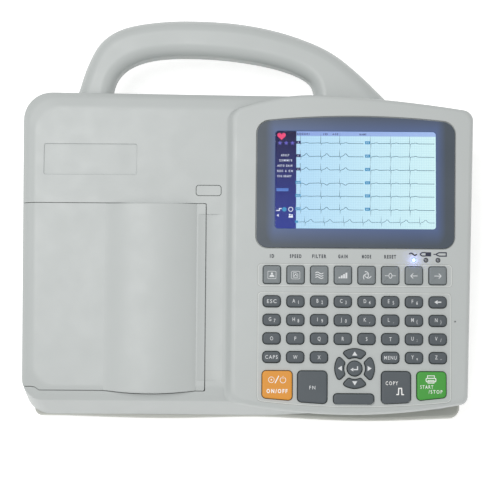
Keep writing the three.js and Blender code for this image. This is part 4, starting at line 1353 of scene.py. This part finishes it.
def build_lamps():
    for i, (u, v) in enumerate(LAMPS):
        levels = [(1.2, -2.5), (1.2, -0.35), (1.08, -0.1), (0.75, 0.02), (0.3, 0.08)]
        dome = [at(circle(u, v, r), w) for r, w in levels]
        lamp = new_object(f"lamp_{i}", dome, DECK, LAMP_ON if i == 0 else LED_OFF)
        place(lamp, "machine")
        # Round the lit lamp the ring is a painted halo of its light; round the others it is a dark ring.
        ring_mark = Ink(f"lamp_ring_mark_{i}", 0.0, PAINTED_HALO if i == 0 else INK_DARK, 0.02)
        ring_mark.ring(u, v, 1.62, 0.5 if i else 0.7)
        ring_mark.make("machine")


# ---- Display ------------------------------------------------------------------------------------
SCREEN_W = -1.25
LEFT, RIGHT, BOTTOM, TOP = LCD
SPLIT = LEFT + 16  # where the dark side column ends
TITLE = 3.6
GLOW_REACH = 13
MARK_W = SCREEN_W + 0.05
TRACE_DEPTHS = [9.2, 19.5, 29.9, 40.2, 50.3, 60.6]  # the curves' base lines, down from the top


def screen_material(name, low, high, across=True, grid=None):
    """A lit area whose colour runs from `low` to `high`, optionally with a faint square grid."""
    m = Nodes(name)
    axis, start, end = ("X", LEFT, RIGHT) if across else ("Y", BOTTOM + DECK_Y, TOP + DECK_Y)
    place_on_axis = m.add("SeparateXYZ", Vector=m.coords).outputs[axis]
    color = m.mix(m.span(place_on_axis, start * MM, end * MM), low, high)
    if grid:
        squares = m.add("TexBrick", offset=0.0, Scale=1000 / grid / 4, Brick_Width=0.25, Row_Height=0.25,
                        Mortar_Size=0.012, Color1=(1, 1, 1), Color2=(1, 1, 1), Mortar=(0.78, 0.85, 0.9),
                        Vector=m.coords)
        color = m.mix(1, color, squares.outputs["Color"], "MULTIPLY")
    return m.set(Emission_Color=color, Base_Color=(0.006, 0.006, 0.008), Roughness=0.6, Emission_Strength=1.0,
                 Specular_IOR_Level=0.1)


SCREEN_CYAN = screen_material("screen_cyan", (0.46, 0.72, 0.95), (0.68, 0.93, 0.95), True, 1.8)
SCREEN_TITLE = screen_material("screen_title_bar", (0.27, 0.38, 0.75), (0.38, 0.52, 0.86))
SCREEN_SIDE = screen_material("screen_side_bar", (0.036, 0.052, 0.3), (0.016, 0.012, 0.045), False)


def border_material():
    """The border's moulding, with a painted glow of the display's light close to its edge."""
    m = Nodes("window_border")
    centre = DECK @ Vector(((LEFT + RIGHT) / 2, (TOP + BOTTOM) / 2, 0))
    from_centre = m.add("Mapping", vector_type="TEXTURE", Location=centre, Rotation=(DECK_ANGLE, 0, 0),
                        Vector=m.coords)
    split = m.add("SeparateXYZ", Vector=from_centre.outputs["Vector"])
    squares = []
    for axis, size, weight in (("X", RIGHT - LEFT, 1.7), ("Y", TOP - BOTTOM, 1)):
        past = m.math("SUBTRACT", m.math("ABSOLUTE", split.outputs[axis]), size / 2 * MM)
        reach = m.math("MULTIPLY", m.math("MAXIMUM", past, 0), weight)
        squares.append(m.math("MULTIPLY", reach, reach))
    away = m.math("SQRT", m.math("ADD", *squares))
    return m.set(
        Base_Color=m.uneven((0.05, 0.068, 0.092), (0.058, 0.078, 0.104), 20),
        Roughness=m.spread(m.noise(60, 4), 0.34, 0.42), Emission_Strength=1.0,
        # painted glow: emission that fades out over GLOW_REACH from the lit area's edge
        Emission_Color=m.mix(m.span(away, 0, GLOW_REACH * MM, 1, 0), (0, 0, 0), (0.018, 0.042, 0.15)),
    )


BORDER = border_material()


def build_window():
    rings = stack(window_outline(-0.4), [(0, -1.4), (0, -0.45), (-0.1, -0.2), (-0.35, -0.1)])
    bezel = new_object("display_border", rings, DECK, BORDER)
    inner = round_rect(LEFT, RIGHT, BOTTOM, TOP, 2.4, 8)
    opening = [(-0.05, -5), (-0.05, -1.2), (0.0, -0.7), (0.18, -0.32), (0.45, -0.1), (0.45, 3)]
    boolean(bezel, [cutter(stack(inner, opening))])
    place(bezel, "machine", "display_bezel")
    rings = stack(inner, [(0.1, -0.95), (0.1, -0.6), (0.0, -0.55), (-0.1, -0.52)])
    lens = new_object("display_window", rings, DECK, GLASS)
    place(lens, "machine", "display_lens")

    for name, material, area in (
        ("screen_traces", SCREEN_CYAN, (SPLIT, RIGHT + 0.2, BOTTOM - 0.2, TOP - TITLE)),
        ("screen_title", SCREEN_TITLE, (SPLIT, RIGHT + 0.2, TOP - TITLE, TOP + 0.2)),
        ("screen_sidebar", SCREEN_SIDE, (LEFT - 0.2, SPLIT, BOTTOM - 0.2, TOP + 0.2)),
    ):
        patch(name, SCREEN_W, material, 0.04, rect(*area))


def heartbeat(x, v, up, down, wave):
    steps = [(-1.2, 0.25), (-0.7, 0), (-0.25, 0), (-0.1, up), (0.15, -down), (0.4, -0.2), (1.2, 0.1),
             (2.8, wave * 0.35), (4.1, wave), (5.0, wave * 0.95), (6.2, wave * 0.2), (7.2, 0)]
    return [(x + step, v + rise) for step, rise in steps]


def draw_traces():
    traces = Ink("screen_curves", MARK_W, TRACE, 0.02)
    beats = [19.2, 34.9, 49.4]
    shapes = [  # spike up, spike down, height of the wave that follows
        (8.2, 1.4, 0.5), (5.8, 2.6, 2.2), (5.2, 2.2, 1.8), (4.4, 3.6, -1.3), (5.6, 2.0, 0.25), (5.4, 3.0, 1.9),
    ]
    rng = random.Random(7)
    for i, depth in enumerate(TRACE_DEPTHS):
        v = TOP - depth
        up, down, wave = shapes[i]
        path = []
        for x in beats:
            path += heartbeat(LEFT + x + rng.uniform(-0.1, 0.1), v, up, down, wave)
        path.append((LEFT + 67.5, v + rng.uniform(-0.2, 0.2)))
        traces.line([p for p in path if p[0] > LEFT + 18.9], 0.4)
        path = [(LEFT + 72.5, v)]
        for x in (72.8, 88.2, 102.9):
            path += heartbeat(LEFT + x, v, 6.2, 4.9, 0.55)
        path.append((RIGHT - 1, v))
        traces.line([p for p in path if p[0] > LEFT + 72.3], 0.42)
    v = TOP - 70.2
    path = [(LEFT + 17.8, v)]
    for x in (22.7, 37.4, 52.4, 67.0, 81.1, 95.6, 110.5):
        path += heartbeat(LEFT + x, v, 5.0, 2.8, 2.1)
    path.append((RIGHT - 1, v))
    traces.line(path, 0.34)
    traces.make("machine")


def draw_screen_words():
    dark = Ink("screen_tags_dark", MARK_W, TAG_NAVY, 0.03)
    teal = Ink("screen_tags_teal", MARK_W, TAG_CYAN, 0.03)
    words = Ink("screen_words", SCREEN_W + 0.09, SCREEN_WHITE, 0.02)
    for i, depth in enumerate(TRACE_DEPTHS):
        v = TOP - depth + 0.6
        (dark if i < 3 else teal).rect(LEFT + 15.4, LEFT + 19.4, v - 1.1, v + 1.1)
        teal.rect(LEFT + 68.6, LEFT + 72.4, v - 1.2, v + 1.2)
        words.text(["I", "II", "III", "aVR", "aVL", "aVF"][i], LEFT + 17.4, v, 1.1, [0.4, 0.9, 1.4, 2.6, 2.6, 2.6][i])
        words.text(f"V{i + 1}", LEFT + 70.4, v, 1.2, 1.9)
    teal.rect(LEFT + 15.2, LEFT + 17.6, TOP - 70.8, TOP - 69.0)
    lines = [("ADULT", 7.4, 18.6, 6.2), ("25MM/S", 7.9, 22.6, 9.8), ("AUTO GAIN", 7.2, 26.7, 11.4),
             ("REC 6 CH", 7.4, 30.8, 11.8), ("ECG READY", 7.0, 34.8, 10.6)]
    for line, u, depth, width in lines:
        words.text(line, LEFT + u, TOP - depth, 1.6, width, 0.07, 1.6)
    words.line([(LEFT + 0.8, TOP - 61.4), (LEFT + 3.2, TOP - 61.4), (LEFT + 3.2, TOP - 59.9),
                (LEFT + 5, TOP - 59.9)], 0.7)
    words.ring(LEFT + 11.9, TOP - 60.4, 1.6, 0.5)
    words.shape([(LEFT + 1.2, TOP - 65.1), (LEFT + 2.7, TOP - 66.3), (LEFT + 2.7, TOP - 63.9)])
    words.disc(LEFT + 11.2, TOP - 64.6, 0.75, 14)
    words.disc(LEFT + 12.9, TOP - 64.8, 0.65, 14)
    words.rect(LEFT + 10.3, LEFT + 13.6, TOP - 66.8, TOP - 65.5)
    words.make("machine")
    teal.disc(LEFT + 7.0, TOP - 60.5, 1.7)
    teal.make("machine")
    for u, width, text in ((5.2, 9.5, "00000001"), (22.4, 3.2, "ID"), (29.8, 4.4, "AGE"), (51, 5.2, "NAME")):
        dark.text(text, SPLIT + u, TOP - 2.1, 1.5, width, 0.06, 1.5)
    dark.make("machine")


def draw_screen_signs():
    patch("screen_block", MARK_W, BLOCK_BLUE, 0.03, rect(LEFT + 0.9, LEFT + 10.1, TOP - 46.5, TOP - 44.2))
    heart = []
    for s in reversed(range(40)):
        a = s / 40 * math.tau
        x = 16 * math.sin(a) ** 3
        y = 13 * math.cos(a) - 5 * math.cos(2 * a) - 2 * math.cos(3 * a) - math.cos(4 * a)
        heart.append((LEFT + 4.6 + x * 0.205, TOP - 3.8 + y * 0.2))
    patch("screen_heart", MARK_W, HEART, 0.03, heart)
    points = [(0.85 if s % 2 else 1.9, math.pi / 2 + s * math.pi / 5) for s in range(10)]
    stars = [[(LEFT + x + r * math.cos(a), TOP - 9.2 + r * math.sin(a)) for r, a in points] for x in (3.4, 8.2, 13.0)]
    patch("screen_stars", MARK_W, STAR, 0.03, *stars)


# ---- Sockets, printer and boards ----------------------------------------------------------------
def side_matrix(x, y, z):
    """Right-hand side wall: u to the rear, v up, w outwards."""
    return Matrix.Scale(MM, 4) @ Matrix(((0, 0, 1, x), (1, 0, 0, y), (0, 1, 0, z), (0, 0, 0, 1)))


def rear_matrix(x, y, z):
    """Rear wall: u to the left as seen from the front, v up, w outwards."""
    return Matrix.Scale(MM, 4) @ Matrix(((-1, 0, 0, x), (0, 0, 1, y), (0, 1, 0, z), (0, 0, 0, 1)))


def build_sockets():
    side = side_matrix(161.6, *PATIENT)
    insert = [(-11.2, -3.4), (11.2, -3.4), (12.4, 3.4), (-12.4, 3.4)]
    face = prism("patient_socket_insert", insert, 8.7, 9.15, 0.2, side, BLACK)
    place(face, "machine")
    holes = Ink("patient_socket_holes", 9.13, BRASS, 0.05, side)
    for row, count in ((1.45, 8), (-1.45, 7)):
        for i in range(count):
            holes.ring((i - (count - 1) / 2) * 2.76, row, 0.55, 0.35, 14)
    holes.make("machine")
    for where, a in (("front", -16.4), ("rear", 16.4)):
        rings = [at(circle(a, 0, r, 6), w) for r, w in ((2.7, 0), (2.7, 4.2), (1.5, 4.4), (1.4, 2.2))]
        place(new_object(f"jack_screw_{where}", filleted(rings, (0.3, 0.2), 2), side, STEEL), "machine")
    usb = side_matrix(161.6, *USB)
    contacts = Ink("usb_contacts", 0, BRASS, 0.1, usb)
    for a in (-3.5, -1.2, 1.2, 3.5):
        contacts.rect(a - 0.5, a + 0.5, 0.1, 0.35)
    contacts.make("machine")

    terminal = rear_matrix(GROUND[0], 82, GROUND[1])
    levels = [(2.6, 0)]
    for turn in range(25):
        levels += [(2.75, 3 + turn * 0.7), (2.35, 3.35 + turn * 0.7)]
    levels += [(2.3, 20.6), (1.7, 21)]
    pieces = [new_object("ground_stud", [at(circle(0, 0, r, 36), w) for r, w in levels], terminal, BRASS, 60)]
    for low in (2, 10.2):
        rings = [at(circle(0, 0, r, 6), low + w) for r, w in ((4.4, 0), (5, 0.5), (5, 2.5), (4.4, 3))]
        pieces.append(new_object("nut", rings, terminal, BRASS))
    place(joined("ground_terminal", pieces), "machine", "ground_post")


def build_printer():
    place(rod("platen_sleeve", *along(PLATEN, 20, 132.5), 6, RUBBER, 0.5, 48), "platen", "platen_roller")
    place(rod("platen_axle", *along(PLATEN, 15.5, 142.8), 2, STEEL, 0.3, 24), "platen")
    roll = rod("chart_roll", *along(ROLL, 21, 131), 20, PAPER, 0.25, 72, inner=7)
    up_slope = Vector((0, math.cos(DECK_ANGLE), math.sin(DECK_ANGLE)))
    for face in roll.data.polygons:
        if abs(face.normal.dot(up_slope)) > 0.9:
            face.material_index = 1
    roll.data.materials.append(WOUND)
    place(roll, "roll", "paper_roll")
    core = rod("roll_core", *along(ROLL, 20.6, 131.4), 6.5, WHITE, 0.6, 40)
    journal = rod("journal", *along(ROLL, 18, 134.4), 3, WHITE, 0.4, 28)
    place(joined("roll_spindle", [core, journal]), "roll", "paper_spindle")


CAD_FINISH = {
    "battery_pack": (BLACK, 1.0), "main_board": (BOARD, 0.15), "power_supply": (BOARD, 0.4),
    "patient_socket": (STEEL, 0.4), "usb_socket": (STEEL, 0.25), "mains_inlet": (BLACK, 0.5), "speaker": (BLACK, 0.8),
    "lcd_module": (STEEL, 0.4), "keypad_board": (BOARD, 0.15), "indicator_guide": (WHITE, 0.2),
    "door_hinge_pin_front": (STEEL, 0.15), "door_hinge_pin_rear": (STEEL, 0.15), "idler_shaft": (STEEL, 0.2),
    "stepper_motor": (STEEL, 0.6), "printer_chassis": (SHEET_STEEL, 0.2), "printhead": (DARK_STEEL, 0.4),
    "paper_tray": (CASING_LOW, 0.3), "platen_gear": (WHITE, 0.12), "idler_gear": (WHITE, 0.12),
    "motor_pinion": (BRASS, 0.12),
}

build_window()
draw_traces()
draw_screen_words()
draw_screen_signs()
build_lamps()
draw_panel()
draw_letters()
draw_functions()
draw_big_keys()
draw_arrows()
build_sockets()
build_printer()
for node, (material, width) in CAD_FINISH.items():
    bevelled_cad(node, material, width)


# ---- The camera, lights and floor ---------------------------------------------------------------
FLOOR_REACH = 14
CAMERA = {"target": (0.0022, -0.0232, 0.040), "elevation": 76, "roll": 0.4, "distance": 1.5}
SENSOR_MM = 36
VIEW_WIDTH = 0.388  # metres that the picture takes in at the camera's distance
AIM = Vector((0, 0, 0.03))
LIGHTS = {  # place, size, power
    "key": ((-0.42, 0.06, 1.5), 0.8, 10.5),
    "fill": ((1.1, -0.5, 1.3), 1.0, 1.4),
    "front": ((-0.3, -1.35, 0.9), 1.0, 1.5),
    "rim": ((-0.35, 1.3, 1.25), 0.25, 0.6),
}


def build_camera():
    camera = linked("camera", bpy.data.cameras.new("camera"))
    elevation = math.radians(CAMERA["elevation"])
    target = Vector(CAMERA["target"])
    location = target + CAMERA["distance"] * Vector((0, -math.cos(elevation), math.sin(elevation)))
    look = (target - location).to_track_quat("-Z", "Y").to_matrix().to_4x4()
    roll = Matrix.Rotation(math.radians(CAMERA["roll"]), 4, "Z")
    camera.matrix_world = Matrix.Translation(location) @ look @ roll
    camera.data.sensor_width = SENSOR_MM
    camera.data.lens = SENSOR_MM * CAMERA["distance"] / VIEW_WIDTH
    bpy.context.scene.camera = camera


def build_lights():
    for name, (location, size, power) in LIGHTS.items():
        data = bpy.data.lights.new(name, "AREA")
        data.shape = "DISK"
        data.size = size
        data.energy = power
        light = linked(name, data)
        light.location = location
        light.rotation_euler = (AIM - Vector(location)).to_track_quat("-Z", "Y").to_euler()
    data = bpy.data.lights.new("lamp_glow", "POINT")
    data.energy = 0.0011
    data.color = (0.3, 0.36, 1.0)
    data.shadow_soft_size = 0.0015
    linked("lamp_glow", data).location = DECK @ Vector((*LAMPS[0], 3.2))


def build_studio():
    corners = [(x * FLOOR_REACH, y * FLOOR_REACH, 0) for x, y in ((-1, -1), (1, -1), (1, 1), (-1, 1))]
    pale = moulded("pale_floor", (0.9, 0.9, 0.9), 0.9, vary=0.005, Emission_Color=(1, 1, 1), Emission_Strength=0.5,
                   Specular_IOR_Level=0.1)
    mesh_object("floor", corners, [(0, 1, 2, 3)], Matrix.Identity(4), pale)
    world = bpy.data.worlds.new("studio")
    world.use_nodes = True
    background = world.node_tree.nodes["Background"]
    background.inputs["Color"].default_value = (1, 0.995, 0.975, 1)
    background.inputs["Strength"].default_value = 0.5
    bpy.context.scene.world = world
    bpy.context.scene.view_settings.view_transform = "Standard"


build_camera()
build_lights()
build_studio()
